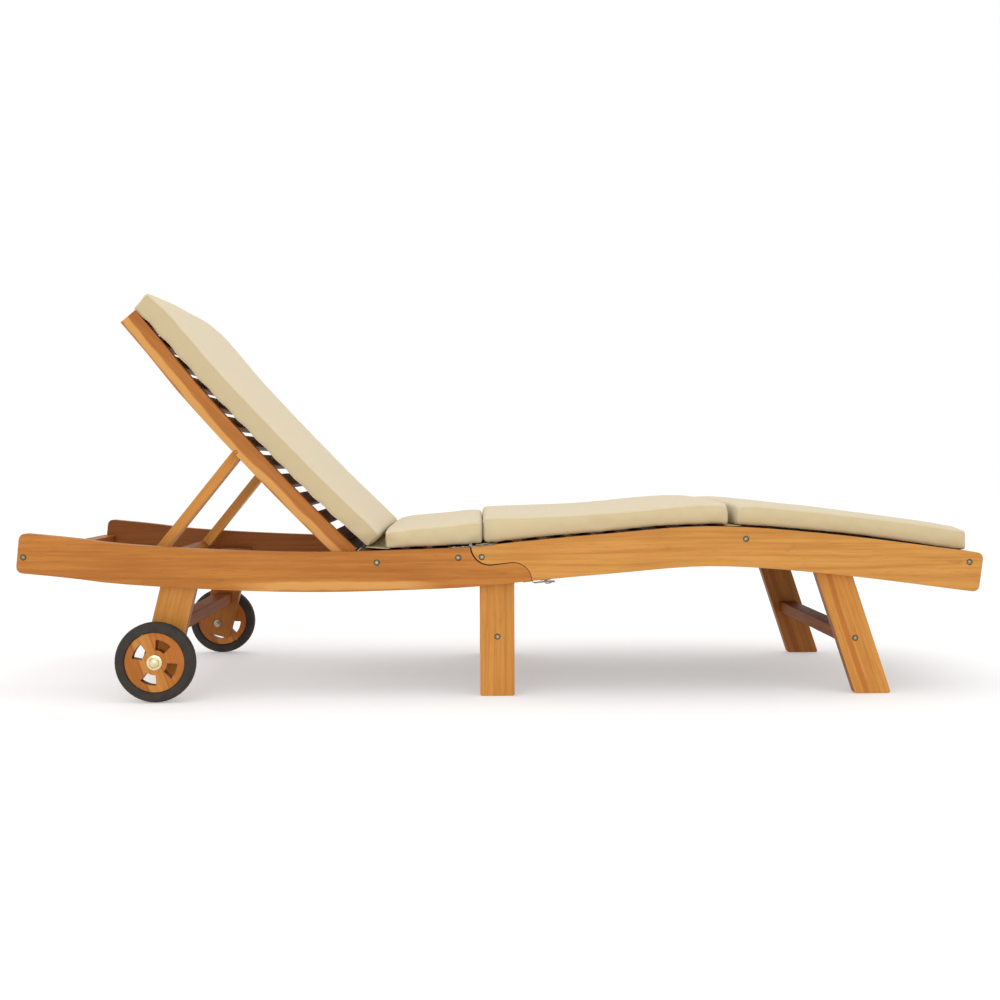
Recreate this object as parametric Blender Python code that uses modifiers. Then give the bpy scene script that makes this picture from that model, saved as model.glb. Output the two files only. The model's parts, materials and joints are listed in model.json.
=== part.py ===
"""Folding garden lounger: hardwood frame, reclining back, two wheels and a four-section cushion.

Metres, +Z up.  X runs from the head end (-X) to the foot end (+X), Y across; the side at -Y is
called right.  The origin is on the ground, under the middle of the lounger.  The bodies that
move hang under empties on their axes: the back, its prop, the folding foot half, the two
wheels, the two latch levers and their bails.
"""
import math

import bmesh
import bpy
from mathutils import Matrix, Vector

# ---- driving dimensions -------------------------------------------------------
GAP = 0.0003                      # air between two touching pieces
HALF_LENGTH = 1.0
# Crown of the side rails: stations (x, height of the rail's top edge).  The line dips under
# the sitter's hips, rises under the knees and falls towards the feet.
CROWN = ((-1.000, 0.3475), (-0.880, 0.3350), (-0.790, 0.3235), (-0.600, 0.3108), (-0.400, 0.3040),
         (-0.200, 0.3075), (-0.0675, 0.3130), (0.050, 0.3245), (0.200, 0.3375), (0.430, 0.3535),
         (0.680, 0.3365), (1.000, 0.2960))
RAIL_HEIGHT = 0.082
RAIL_THICK = 0.024
RAIL_OUTER = 0.310                # y of the side rails' outer face
RAIL_INNER = RAIL_OUTER - RAIL_THICK
CORNER = 0.013                    # rounding of the rail tips
TIP_INSET = 0.008                 # of the head end, whose lower corner the slope carries outwards
BETWEEN = RAIL_INNER - GAP        # half width of what spans the side rails

SLAT_WIDTH = 0.031
SLAT_THICK = 0.012
CLEAT_WIDTH = 0.012
CLEAT_DEPTH = 0.018
CROSS_DEPTH = 0.020               # cross rails lie flat under the slats
SEAT_AIR = 0.0006                 # between the seat's cleats and its cross rails
FOOT_AIR = 0.0012

LEG_THICK = 0.024
LEG_WIDTH = 0.072
LEG_TOE = 0.004                   # rounding of the legs' lower corners
WHEEL_LEG_TOE = 0.030             # from the axle to the wheel leg's lower end
LEG_TOP_DROP = 0.0325             # below the crown, under the cleats
WHEEL_LEG_TOP_DROP = 0.0415       # clear of the back's rails when it lies flat
LEG_INNER = BETWEEN - LEG_THICK
STRETCHER_WIDE = 0.040
STRETCHER_HIGH = 0.027
MID_LEG_X = -0.0125
MID_STRETCHER_Z = 0.1243
FOOT_LEG_SLOPE = math.radians(18.4)
FOOT_LEG_BOTTOM_X = 0.778
FOOT_STRETCHER = (0.7385, 0.1171)
WHEEL_LEG_SLOPE = math.radians(14.0)
WHEEL_STRETCHER_Z = 0.147

WHEEL_X = -0.7125
WHEEL_RADIUS = 0.0825
WHEEL_WIDTH = 0.027
WHEEL_INNER = 0.3130              # y of the wheel's inner face
DISC_RADIUS = 0.0615
DISC_THICK = 0.020
TYRE_BEAD = (0.003, 0.002)        # height and width of the tyre's bevel beside the disc
TYRE_EDGE = (0.0060, 0.0015)      # drops of the two steps of the tyre's rounded shoulder
TYRE_STEP = (0.004, 0.009)        # how far those steps reach across the tread
AXLE_RADIUS = 0.005
WASHER_RADIUS = 0.0155
WASHER_THICK = 0.0015
HEAD_RADIUS = 0.0105
HEAD_HIGH = 0.005
HEAD_EDGE = 0.001
AXLE_PAST_LEG = 0.012
WINDOW_ANGLES = (148.0, 65.0, -24.0, 253.0)
WINDOW_SPAN = math.radians(42.0)
WINDOW_RADII = (0.026, 0.047)

# the lap joint between the two halves, an S drawn with two arcs
FOLD_PIN = (-0.0675, 0.3170)
LAP_GAP = 0.0008
LAP_TOP = (-0.0275, 0.3165, 0.040)       # centre and radius of the foot half's lobe
LAP_LOW = (0.0200, 0.2425, 0.039)        # centre and radius of the head half's lobe
LAP_TILT = math.radians(6.5)
LAP_START = math.radians(5.0)            # where the upper arc meets the crown
LAP_END = math.radians(0.6)              # where the lower arc meets the rail's bottom edge
LAP_CROWN = (-0.0685, -0.0595)           # where the two halves' top edges end, beside the lap
LAP_SIDES = (0.0360, 0.0750)             # where their bottom edges begin
FOLD_STRAP_WIDTH = 0.020
FOLD_STRAP_THICK = 0.0015
FOLD_STRAP_REACH = (0.042, 0.050)        # head leaf, foot leaf
FOLD_KNUCKLE = 0.0032
HINGE_PIN = 0.0015
KNUCKLE_AIR = 0.0006                     # between a knuckle and the plates beside it
TONGUE_BITE = 0.001                      # how far a tongue runs into its plate
TONGUE_START = 0.0012                    # from the pin's axis to the strap tongue's end

BACK_PIN = (-0.301, 0.3055)
BACK_ANGLE = math.radians(44.2)          # how far the back stands up from flat
BACK_END_X = -0.976
BACK_RAIL_HEIGHT = 0.039
BACK_OUTER = 0.2845
BACK_INNER = BACK_OUTER - RAIL_THICK
BACK_BETWEEN = BACK_INNER - GAP
BACK_FACE = 0.0056                       # from the pin to the wood on each side
BACK_EASE = 0.0008                       # for the slant of the back's lower end
BACK_LOWER_WIDE = 0.045
BACK_SLATS = 12
BACK_PITCH = 0.0545
BACK_FIRST = 0.0494
BACK_CLEAT_DEPTH = 0.007
BUTT_LENGTH = 0.060
BUTT_Y = 0.150
BUTT_HIGH = 0.024
BUTT_THICK = 0.002
BUTT_KNUCKLE = 0.0033
BUTT_TONGUE = (0.0016, 0.0004)             # below the knuckle, and above the pin's axis

PROP_PIN = (-0.5534, 0.5111)             # while the back stands up
PROP_ANGLE = math.radians(51.0)
PROP_ARM_WIDE = 0.021
PROP_ARM_THICK = 0.028
PROP_ARM_LENGTH = 0.286
PROP_ARM_HEAD = 0.014
PROP_OUTER = BACK_INNER - 0.001
PROP_BAR = (0.019, 0.020)                # along the arms, across them
PROP_BAR_HALF = 0.2590
PROP_PIN_RADIUS = 0.004

RACK_X = (-0.957, -0.712)
RACK_DEPTH = 0.016
RACK_INNER = 0.2457
RACK_LINE = (-0.7297, 0.2606, -0.0766)   # a point on the rack's top edge, and its slope
NOTCHES = (-0.7345, -0.822, -0.895)
NOTCH_WIDE = 0.017
NOTCH_DEEP = 0.009
NOTCH_FLANKS = ((0.6, 0.0), (0.1, 1.0), (-0.1, 1.0), (-0.4, 0.0))    # shares of its width and depth

HEAD_CROSS_X = -0.9835
HEAD_CROSS_WIDE = 0.025
HEAD_CROSS_DROP = 0.0395
SEAT_REAR = (-0.2954, -0.2260)
SEAT_FRONT = (-0.1175, -0.0705)
FOOT_FRONT = (-0.0645, -0.0200)
FOOT_MID = (0.4908, 0.5158)
FOOT_END = (0.9515, 0.9825)
END_SLAT_INSET = 0.0155

CUSHION_HALF = 0.286
CUSHION_THICK = 0.043
CUSHION_ROUND = 0.012
CUSHION_AIR = 0.0035                     # between the cushion and the slats
SEAT_CUSHION = (-0.247, -0.043)
KNEE_CUSHION = (-0.036, 0.4750)
FOOT_CUSHION = (0.4860, 0.9690)
BACK_CUSHION = (-0.6740, 0.0118)         # its ends, along the back from the hinge pin
BACK_CUSHION_AIR = (0.0015, 0.0155)      # it bridges the back's dip: air at its top, and more lower
BACK_CUSHION_THICK = 0.0455

LATCH_Y = (RAIL_INNER + RAIL_OUTER) / 2
LATCH_CATCH = (0.0320, 0.0545)           # crown x of the catch plate; its lip is at the second
LATCH_LIP = (0.0015, 0.0050)             # thickness and depth of the lip
LATCH_PLATE = 0.0015
LATCH_HALF = 0.0065                      # half width of catch and base plate
LATCH_BASE = (0.0690, 0.0910)
LATCH_PIN_X = 0.0800
LATCH_PIN_DROP = RAIL_HEIGHT + 0.0052
LATCH_EYE = 0.0028
LATCH_PIN_RADIUS = 0.0012
LEVER_HALF = 0.0045
LEVER_TIP_X = 0.1070
LEVER_THICK = 0.0027
BAIL_PIN_X = 0.0865
BAIL_TIP_X = 0.0565
BAIL_HALF = 0.0088
BAIL_WIRE = 0.0010
BAIL_BEND = 0.003
EAR_AIR = 0.0005                          # between the lever and the base plate's ears

SIDES = (("right", -1.0), ("left", 1.0))

WOOD = ((0.50, 0.23, 0.075), 0.50, 0.0)
WOOD_DARK = ((0.40, 0.17, 0.055), 0.55, 0.0)
FABRIC = ((0.72, 0.64, 0.44), 0.90, 0.0)
RUBBER = ((0.035, 0.030, 0.026), 0.75, 0.0)
ZINC = ((0.62, 0.62, 0.60), 0.35, 1.0)
YELLOW_ZINC = ((0.78, 0.66, 0.38), 0.30, 1.0)


# ---- scene and helpers ----------------------------------------------------------
def empty_scene():
    for thing in list(bpy.data.objects):
        bpy.data.objects.remove(thing, do_unlink=True)
    parts = bpy.data.collections.new("sun_lounger")
    cutters = bpy.data.collections.new("cutters")
    for group in (parts, cutters):
        bpy.context.scene.collection.children.link(group)
    return parts, cutters


PARTS, CUTTERS = empty_scene()


def paint(thing, look):
    colour, rough, metal = look
    finish = bpy.data.materials.new(thing.name + "_finish")
    finish.use_nodes = True
    shader = finish.node_tree.nodes["Principled BSDF"]
    shader.inputs["Base Color"].default_value = (*colour, 1.0)
    shader.inputs["Roughness"].default_value = rough
    shader.inputs["Metallic"].default_value = metal
    thing.data.materials.append(finish)


def hang(thing, pivot):
    """Hangs a piece, drawn where it lies at the pivot's zero angle, under the pivot's empty."""
    if pivot is not None:
        thing.parent = pivot
        thing.location = thing.location - Vector(pivot["at"])


def joint_empty(name, at, angle=0.0, pivot=None):
    """An empty on a joint's axis; its piece turns about Y by the angle."""
    marker = bpy.data.objects.new(name, None)
    PARTS.objects.link(marker)
    marker.location = at
    marker.rotation_euler = (0.0, angle, 0.0)
    marker.empty_display_size = 0.03
    if pivot is not None:
        marker.parent = pivot
        marker.location = Vector(at) - Vector(pivot["at"])
    marker["at"] = Vector(at)
    return marker


def ease_shading(thing):
    """Round faces are shaded smooth, and edges sharper than thirty degrees stay crisp."""
    thing.data.shade_smooth()
    thing.data.set_sharp_from_angle(angle=math.radians(30.0))


def new_object(name, mesh, look, pivot=None, location=(0.0, 0.0, 0.0)):
    thing = bpy.data.objects.new(name, mesh)
    PARTS.objects.link(thing)
    thing.location = location
    hang(thing, pivot)
    paint(thing, look)
    ease_shading(thing)
    return thing


def box_mesh(size):
    work = bmesh.new()
    bmesh.ops.create_cube(work, size=1.0)
    bmesh.ops.scale(work, vec=size, verts=work.verts)
    mesh = bpy.data.meshes.new("box")
    work.to_mesh(mesh)
    work.free()
    return mesh


def block_mesh(low, high):
    mesh = box_mesh([b - a for a, b in zip(low, high)])
    mesh.transform(Matrix.Translation([(a + b) / 2 for a, b in zip(low, high)]))
    return mesh


def box(name, low, high, look, pivot=None, edge=0.0):
    """A plain block between two corners, with its edges eased by a bevel."""
    centre = [(a + b) / 2 for a, b in zip(low, high)]
    size = [b - a for a, b in zip(low, high)]
    thing = new_object(name, box_mesh(size), look, pivot, centre)
    if edge:
        soften(thing, edge)
    return thing


def soften(thing, width, segments=2):
    bevel = thing.modifiers.new("eased_edges", "BEVEL")
    bevel.width = width
    bevel.segments = segments
    bevel.limit_method = "ANGLE"
    bevel.angle_limit = math.radians(40.0)


def to_mesh(thing):
    """Turns a curve object into a welded mesh object in the same place."""
    bpy.context.view_layer.update()
    graph = bpy.context.evaluated_depsgraph_get()
    mesh = bpy.data.meshes.new_from_object(thing.evaluated_get(graph))
    work = bmesh.new()
    work.from_mesh(mesh)
    bmesh.ops.remove_doubles(work, verts=work.verts, dist=1e-6)
    bmesh.ops.recalc_face_normals(work, faces=work.faces)
    work.to_mesh(mesh)
    work.free()
    mesh.transform(thing.matrix_world)
    bpy.data.objects.remove(thing, do_unlink=True)
    return mesh


def outline_mesh(loops, y_low, y_high):
    """A flat outline in XZ, with holes as further loops, made as thick as y_low to y_high."""
    curve = bpy.data.curves.new("outline", "CURVE")
    curve.dimensions = "2D"
    curve.fill_mode = "BOTH"
    curve.extrude = (y_high - y_low) / 2
    for loop in loops:
        spline = curve.splines.new("POLY")
        spline.points.add(len(loop) - 1)
        for point, (x, z) in zip(spline.points, loop):
            point.co = (x, z, 0.0, 1.0)
        spline.use_cyclic_u = True
    thing = bpy.data.objects.new("outline", curve)
    CUTTERS.objects.link(thing)
    thing.rotation_euler = (math.radians(90.0), 0.0, 0.0)
    thing.location = (0.0, (y_low + y_high) / 2, 0.0)
    return to_mesh(thing)


def board(name, loops, y_pair, look, pivot=None):
    y_low, y_high = sorted(y_pair)
    return new_object(name, outline_mesh(loops, y_low, y_high), look, pivot)


def join_meshes(meshes):
    work = bmesh.new()
    for mesh in meshes:
        work.from_mesh(mesh)
    joined = bpy.data.meshes.new("joined")
    work.to_mesh(joined)
    work.free()
    return joined


def boolean(thing, mesh, operation):
    """Unites the piece with a mesh, or cuts the mesh out of it."""
    cutter = bpy.data.objects.new(thing.name + "_cutter", mesh)
    CUTTERS.objects.link(cutter)
    cutter.parent = thing.parent
    cutter.location = thing.location
    cutter.hide_render = True
    cutter.display_type = "WIRE"
    change = thing.modifiers.new("boolean", "BOOLEAN")
    change.operation = operation
    change.solver = "EXACT"
    change.object = cutter


def cylinder_mesh(centre, radius, y_low, y_high, segments=24):
    work = bmesh.new()
    bmesh.ops.create_cone(work, cap_ends=True, segments=segments, radius1=radius, radius2=radius,
                          depth=y_high - y_low)
    turn = Matrix.Rotation(math.radians(90.0), 4, "X")
    shift = Matrix.Translation((centre[0], (y_low + y_high) / 2, centre[1]))
    bmesh.ops.transform(work, matrix=shift @ turn, verts=work.verts)
    mesh = bpy.data.meshes.new("cylinder")
    work.to_mesh(mesh)
    work.free()
    return mesh


def turned(name, profile, centre, side, look, pivot=None, steps=40):
    """A turned piece about an axle along Y; the profile holds (radius, y), from the leg outwards."""
    mesh = bpy.data.meshes.new(name)
    work = bmesh.new()
    corners = [work.verts.new((radius, 0.0, along)) for radius, along in reversed(profile)]
    for first, second in zip(corners, corners[1:]):
        work.edges.new((first, second))
    work.to_mesh(mesh)
    work.free()
    thing = new_object(name, mesh, look, pivot, (centre[0], 0.0, centre[1]))
    thing.rotation_euler = (math.radians(-90.0 if side > 0 else 90.0), 0.0, 0.0)
    screw = thing.modifiers.new("turned", "SCREW")
    screw.axis = "Z"
    screw.steps = steps
    screw.render_steps = steps
    screw.use_merge_vertices = True
    screw.merge_threshold = 1e-5
    weld = thing.modifiers.new("weld", "WELD")
    weld.merge_threshold = 1e-5
    return thing


# ---- the crown of the rails -------------------------------------------------------
def crown(x):
    """Height of the side rails' top edge: a smooth curve through the stations."""
    last = len(CROWN) - 1
    index = 0
    while index < last - 1 and x > CROWN[index + 1][0]:
        index += 1

    def slope(i):
        a, b = CROWN[max(i - 1, 0)], CROWN[min(i + 1, last)]
        return (b[1] - a[1]) / (b[0] - a[0])

    (x0, z0), (x1, z1) = CROWN[index], CROWN[index + 1]
    span = x1 - x0
    t = (x - x0) / span
    return ((2 * t**3 - 3 * t**2 + 1) * z0 + (t**3 - 2 * t**2 + t) * span * slope(index)
            + (3 * t**2 - 2 * t**3) * z1 + (t**3 - t**2) * span * slope(index + 1))


def crown_slope(x, step=0.004):
    return (crown(x + step) - crown(x - step)) / (2 * step)


def stations(start, stop, pitch=0.045):
    count = max(2, round(abs(stop - start) / pitch))
    return [start + (stop - start) * i / count for i in range(count + 1)]


def below(x, drop):
    """The point that lies square under the crown at x, by the drop."""
    lean = math.atan(crown_slope(x))
    return (x + drop * math.sin(lean), crown(x) - drop * math.cos(lean))


def strip(start, stop, drop_top, drop_low, pitch=0.045):
    """Outline of a piece that follows the crown between two x and two depths."""
    top = [below(x, drop_top) for x in stations(start, stop, pitch)]
    low = [below(x, drop_low) for x in stations(stop, start, pitch)]
    return top + low


def arc(centre, radius, start, stop, count):
    step = (stop - start) / count
    return [(centre[0] + radius * math.cos(start + step * i),
             centre[1] + radius * math.sin(start + step * i)) for i in range(count + 1)]


def rounded(points, corners, radius, count=4):
    """Rounds the listed corners of an outline."""
    result = []
    for index, point in enumerate(points):
        if index not in corners:
            result.append(point)
            continue
        here = Vector(point)
        before = (Vector(points[index - 1]) - here).normalized()
        after = (Vector(points[(index + 1) % len(points)]) - here).normalized()
        half = before.angle(after) / 2
        reach = radius / math.tan(half)
        centre = here + (before + after).normalized() * (radius / math.sin(half))
        first = here + before * reach - centre
        turn = first.angle_signed(here + after * reach - centre)
        for i in range(count + 1):
            spoke = first.copy()
            spoke.rotate(Matrix.Rotation(-turn * i / count, 2))
            result.append(tuple(centre + spoke))
    return result


# ---- side rails -----------------------------------------------------------------------
def lap_line(shrink):
    """The S of the lap joint, from the top edge to the bottom edge, moved by shrink."""
    x_top, z_top, r_top = LAP_TOP
    x_low, z_low, r_low = LAP_LOW
    quarter = math.radians(90.0)
    upper = arc((x_top, z_top), r_top + shrink, 2 * quarter + LAP_START, 3 * quarter + LAP_TILT, 10)
    lower = arc((x_low, z_low), r_low - shrink, quarter + LAP_TILT, LAP_END, 10)
    return upper + lower


def head_rail_outline():
    top = [below(x, 0.0) for x in stations(-HALF_LENGTH + TIP_INSET, LAP_CROWN[0])]
    low = [below(x, RAIL_HEIGHT) for x in stations(LAP_SIDES[0], -HALF_LENGTH + TIP_INSET)]
    lap = lap_line(LAP_GAP / 2)
    outline = top + lap + low
    return rounded(outline, (0, len(outline) - 1), CORNER)


def foot_rail_outline():
    lap = lap_line(-LAP_GAP / 2)
    top = [below(x, 0.0) for x in stations(LAP_CROWN[1], HALF_LENGTH)]
    low = [below(x, RAIL_HEIGHT) for x in stations(HALF_LENGTH, LAP_SIDES[1])]
    outline = top + low + lap[::-1]
    return rounded(outline, (len(top) - 1, len(top)), CORNER)


def side_rails(fold):
    for side, sign in SIDES:
        span = (sign * RAIL_INNER, sign * RAIL_OUTER)
        board("head_rail_" + side, [head_rail_outline()], span, WOOD)
        board("foot_rail_" + side, [foot_rail_outline()], span, WOOD, fold)


# ---- cross rails and slats ------------------------------------------------------------
def cross_rail(name, ends, slat_at, look, pivot=None):
    """A flat cross rail with the slat that is glued on top of it, stepped in one piece."""
    slat_low = slat_at - SLAT_WIDTH / 2
    slat_high = slat_at + SLAT_WIDTH / 2
    low_drop = SLAT_THICK + CROSS_DEPTH
    step = SLAT_THICK + GAP
    outline = [below(ends[0], low_drop)]
    if slat_low > ends[0] + GAP:
        outline += [below(ends[0], step), below(slat_low, step)]
    outline += [below(slat_low, 0.0), below(slat_high, 0.0)]
    if slat_high < ends[1] - GAP:
        outline += [below(slat_high, step), below(ends[1], step)]
    outline.append(below(ends[1], low_drop))
    return board(name, [outline], (-BETWEEN, BETWEEN), look, pivot)


def slat_box(x, half, thick):
    mesh = box_mesh((SLAT_WIDTH, 2 * half, thick))
    lean = Matrix.Rotation(-math.atan(crown_slope(x)), 4, "Y")
    seat = below(x, thick / 2)
    mesh.transform(Matrix.Translation((seat[0], 0.0, seat[1])) @ lean)
    return mesh


def slat_panel(name, centres, cleat_ends, half, cleat_depth, look, pivot=None):
    """Slats across the frame, joined at both ends by the cleats that they are nailed to."""
    bite = 0.001
    cleats = []
    for sign in (-1.0, 1.0):
        span = sorted((sign * half, sign * (half - CLEAT_WIDTH)))
        outline = strip(cleat_ends[0], cleat_ends[1], SLAT_THICK - bite,
                        SLAT_THICK + cleat_depth)
        cleats.append(outline_mesh([outline], *span))
    panel = new_object(name, join_meshes(cleats), look, pivot)
    boolean(panel, join_meshes([slat_box(x, half, SLAT_THICK) for x in centres]), "UNION")
    return panel


def spread(first, last, count):
    """Evenly spaced places strictly between the first and the last."""
    return [first + (last - first) * i / (count + 1) for i in range(1, count + 1)]


def seat_deck():
    rear_slat = SEAT_REAR[0] + END_SLAT_INSET
    front_slat = SEAT_FRONT[1] - END_SLAT_INSET
    cross_rail("seat_rear_rail", SEAT_REAR, rear_slat, WOOD_DARK)
    cross_rail("seat_front_rail", SEAT_FRONT, front_slat, WOOD_DARK)
    slat_panel("seat_slats", spread(rear_slat, front_slat, 3),
               (SEAT_REAR[1] + SEAT_AIR, SEAT_FRONT[0] - SEAT_AIR), BETWEEN, CLEAT_DEPTH, WOOD)
    drop = HEAD_CROSS_DROP
    outline = strip(HEAD_CROSS_X - HEAD_CROSS_WIDE / 2, HEAD_CROSS_X + HEAD_CROSS_WIDE / 2,
                    drop, drop + CROSS_DEPTH)
    board("head_end_rail", [outline], (-BETWEEN, BETWEEN), WOOD)


def foot_deck(fold):
    first = FOOT_FRONT[0] + END_SLAT_INSET
    middle = (FOOT_MID[0] + FOOT_MID[1]) / 2
    last = FOOT_END[1] - END_SLAT_INSET
    cross_rail("foot_front_rail", FOOT_FRONT, first, WOOD_DARK, fold)
    cross_rail("foot_middle_rail", (middle - SLAT_WIDTH / 2, middle + SLAT_WIDTH / 2), middle,
               WOOD_DARK, fold)
    cross_rail("foot_end_rail", FOOT_END, last, WOOD_DARK, fold)
    near, far = middle - SLAT_WIDTH / 2 - FOOT_AIR, middle + SLAT_WIDTH / 2 + FOOT_AIR
    slat_panel("leg_rest_slats", spread(first, middle, 9), (FOOT_FRONT[1] + FOOT_AIR, near),
               BETWEEN, CLEAT_DEPTH, WOOD, fold)
    slat_panel("foot_end_slats", spread(middle, last, 8), (far, FOOT_END[0] - FOOT_AIR),
               BETWEEN, CLEAT_DEPTH, WOOD, fold)


# ---- legs --------------------------------------------------------------------------------
def circle(centre, radius, count=24):
    return arc(centre, radius, 0.0, math.radians(360.0) * (1 - 1 / count), count - 1)


def leg_pair(name, loops, pivot=None):
    for side, sign in SIDES:
        board(name + "_" + side, loops, (sign * LEG_INNER, sign * BETWEEN), WOOD, pivot)


def leg_outline(bottom_x, slope):
    """A leg that runs from the ground up to the underside of the deck."""
    run = math.tan(slope)
    points = []
    for fraction in (-1.0, 1.0):
        x = bottom_x + fraction * LEG_WIDTH / 2 / math.cos(slope)
        top = 0.26
        for _ in range(8):
            top = crown(x - top * run) - LEG_TOP_DROP
        points.append(((x, 0.0), (x - top * run, top)))
    (low_left, top_left), (low_right, top_right) = points
    outline = [low_left, top_left, top_right, low_right]
    return rounded(outline, (0, 3), LEG_TOE, 3)


def wheel_leg_outline():
    """The wheel leg's lower end is cut square, just past the axle."""
    lean = math.sin(WHEEL_LEG_SLOPE), math.cos(WHEEL_LEG_SLOPE)
    along = Vector((lean[0], lean[1]))
    across = Vector((lean[1], -lean[0]))
    axle = Vector((WHEEL_X, WHEEL_RADIUS))
    half = across * LEG_WIDTH / 2
    low = axle - along * WHEEL_LEG_TOE
    outline = [tuple(low + half), tuple(low - half)]
    for edge in (-half, half):
        reach = 0.12
        for _ in range(8):
            point = axle + edge + along * reach
            reach += crown(point.x) - WHEEL_LEG_TOP_DROP - point.y
        outline.append(tuple(axle + edge + along * reach))
    return rounded(outline, (0, 1), LEG_TOE, 3)


def stretcher(name, x, z, slope, pivot=None):
    half = (STRETCHER_WIDE / 2, LEG_INNER - GAP, STRETCHER_HIGH / 2)
    bar = box(name, [-h for h in half], half, WOOD, None, 0.0015)
    bar.rotation_euler = (0.0, slope, 0.0)
    bar.location = (x, 0.0, z)
    hang(bar, pivot)
    return bar


def legs(fold):
    leg_pair("middle_leg", [leg_outline(MID_LEG_X, 0.0)])
    stretcher("middle_stretcher", MID_LEG_X, MID_STRETCHER_Z, 0.0)
    leg_pair("foot_leg", [leg_outline(FOOT_LEG_BOTTOM_X, FOOT_LEG_SLOPE)], fold)
    stretcher("foot_stretcher", FOOT_STRETCHER[0], FOOT_STRETCHER[1], 0.0, fold)
    axle_hole = circle((WHEEL_X, WHEEL_RADIUS), AXLE_RADIUS + GAP)
    leg_pair("wheel_leg", [wheel_leg_outline(), axle_hole])
    rise = WHEEL_STRETCHER_Z - WHEEL_RADIUS
    stretcher("wheel_stretcher", WHEEL_X + rise * math.tan(WHEEL_LEG_SLOPE), WHEEL_STRETCHER_Z, 0.0)


# ---- wheels and axles ----------------------------------------------------------------------
def window_loop(centre_angle):
    start = math.radians(centre_angle) - WINDOW_SPAN / 2
    stop = start + WINDOW_SPAN
    hub = (WHEEL_X, WHEEL_RADIUS)
    outer = arc(hub, WINDOW_RADII[1], start, stop, 5)
    inner = arc(hub, WINDOW_RADII[0], stop, start, 3)
    return outer + inner


def tyre_profile():
    """Half of the tyre's section from the disc out to the tread, and then its mirror image."""
    half = WHEEL_WIDTH / 2
    bead_high, bead_wide = TYRE_BEAD
    section = [(DISC_RADIUS, -half + bead_wide), (DISC_RADIUS + bead_high, -half),
               (WHEEL_RADIUS - TYRE_EDGE[0], -half), (WHEEL_RADIUS - TYRE_EDGE[1], -half + TYRE_STEP[0]),
               (WHEEL_RADIUS, -half + TYRE_STEP[1])]
    mirrored = [(radius, -along) for radius, along in reversed(section)]
    return section + mirrored + section[:1]


def wheels():
    hub = (WHEEL_X, WHEEL_RADIUS)
    middle = WHEEL_INNER + WHEEL_WIDTH / 2
    for side, sign in SIDES:
        pivot = joint_empty("wheel_axis_" + side, (WHEEL_X, sign * middle, WHEEL_RADIUS))
        bore = circle(hub, AXLE_RADIUS + GAP)
        loops = [circle(hub, DISC_RADIUS - GAP, 48), bore]
        loops += [window_loop(angle) for angle in WINDOW_ANGLES]
        face = (sign * (middle - DISC_THICK / 2), sign * (middle + DISC_THICK / 2))
        board("wheel_disc_" + side, loops, face, WOOD, pivot)
        profile = [(radius, middle + along) for radius, along in tyre_profile()]
        turned("tyre_" + side, profile, hub, sign, RUBBER, pivot, 48)
        axle(side, sign, middle)


def axle(side, sign, middle):
    """A coach bolt through wheel and leg, with its washer as a flange under the domed head."""
    hub = (WHEEL_X, WHEEL_RADIUS)
    face = middle + DISC_THICK / 2 + GAP
    seat = face + WASHER_THICK
    inner = LEG_INNER - AXLE_PAST_LEG
    profile = [(0.0, inner), (AXLE_RADIUS, inner), (AXLE_RADIUS, face), (WASHER_RADIUS, face),
               (WASHER_RADIUS, seat), (HEAD_RADIUS, seat)]
    steps = 5
    quarter = math.radians(90.0)
    for i in range(steps):
        turn = quarter * i / steps
        profile.append((HEAD_RADIUS * math.cos(turn), seat + HEAD_EDGE + HEAD_HIGH * math.sin(turn)))
    profile.append((0.0, seat + HEAD_EDGE + HEAD_HIGH))
    turned("axle_bolt_" + side, profile, hub, sign, YELLOW_ZINC, None, 32)


# ---- back and prop -----------------------------------------------------------------------------
def back_frame(back):
    near = BACK_PIN[0] - BACK_FACE - BACK_EASE
    rail = strip(BACK_END_X, near, 0.0, BACK_RAIL_HEIGHT)
    for side, sign in SIDES:
        loops = [rail, circle(back_flat(PROP_PIN), PROP_PIN_RADIUS + GAP)]
        board("back_rail_" + side, loops, (sign * BACK_INNER, sign * BACK_OUTER), WOOD, back)
        pin = sorted((sign * (PROP_OUTER - PROP_ARM_THICK - 0.001), sign * (BACK_OUTER - 0.003)))
        mesh = cylinder_mesh(back_flat(PROP_PIN), PROP_PIN_RADIUS, *pin)
        new_object("prop_pin_" + side, mesh, ZINC, back)
    lower = strip(near - BACK_LOWER_WIDE, near, SLAT_THICK + GAP, SLAT_THICK + CROSS_DEPTH)
    board("back_lower_rail", [lower], (-BACK_BETWEEN, BACK_BETWEEN), WOOD_DARK, back)
    centres = [BACK_PIN[0] - BACK_FIRST - BACK_PITCH * i for i in range(BACK_SLATS)]
    slat_panel("back_slats", centres, (BACK_END_X + 0.004, near - BACK_LOWER_WIDE - 0.001),
               BACK_BETWEEN, BACK_CLEAT_DEPTH, WOOD, back)


def back_flat(point):
    """Where a point of the raised back lies when the back is flat."""
    turn = Matrix.Rotation(-BACK_ANGLE, 3, "Y")
    pin = Vector((BACK_PIN[0], 0.0, BACK_PIN[1]))
    here = turn @ (Vector((point[0], 0.0, point[1])) - pin) + pin
    return here.x, here.z


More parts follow.
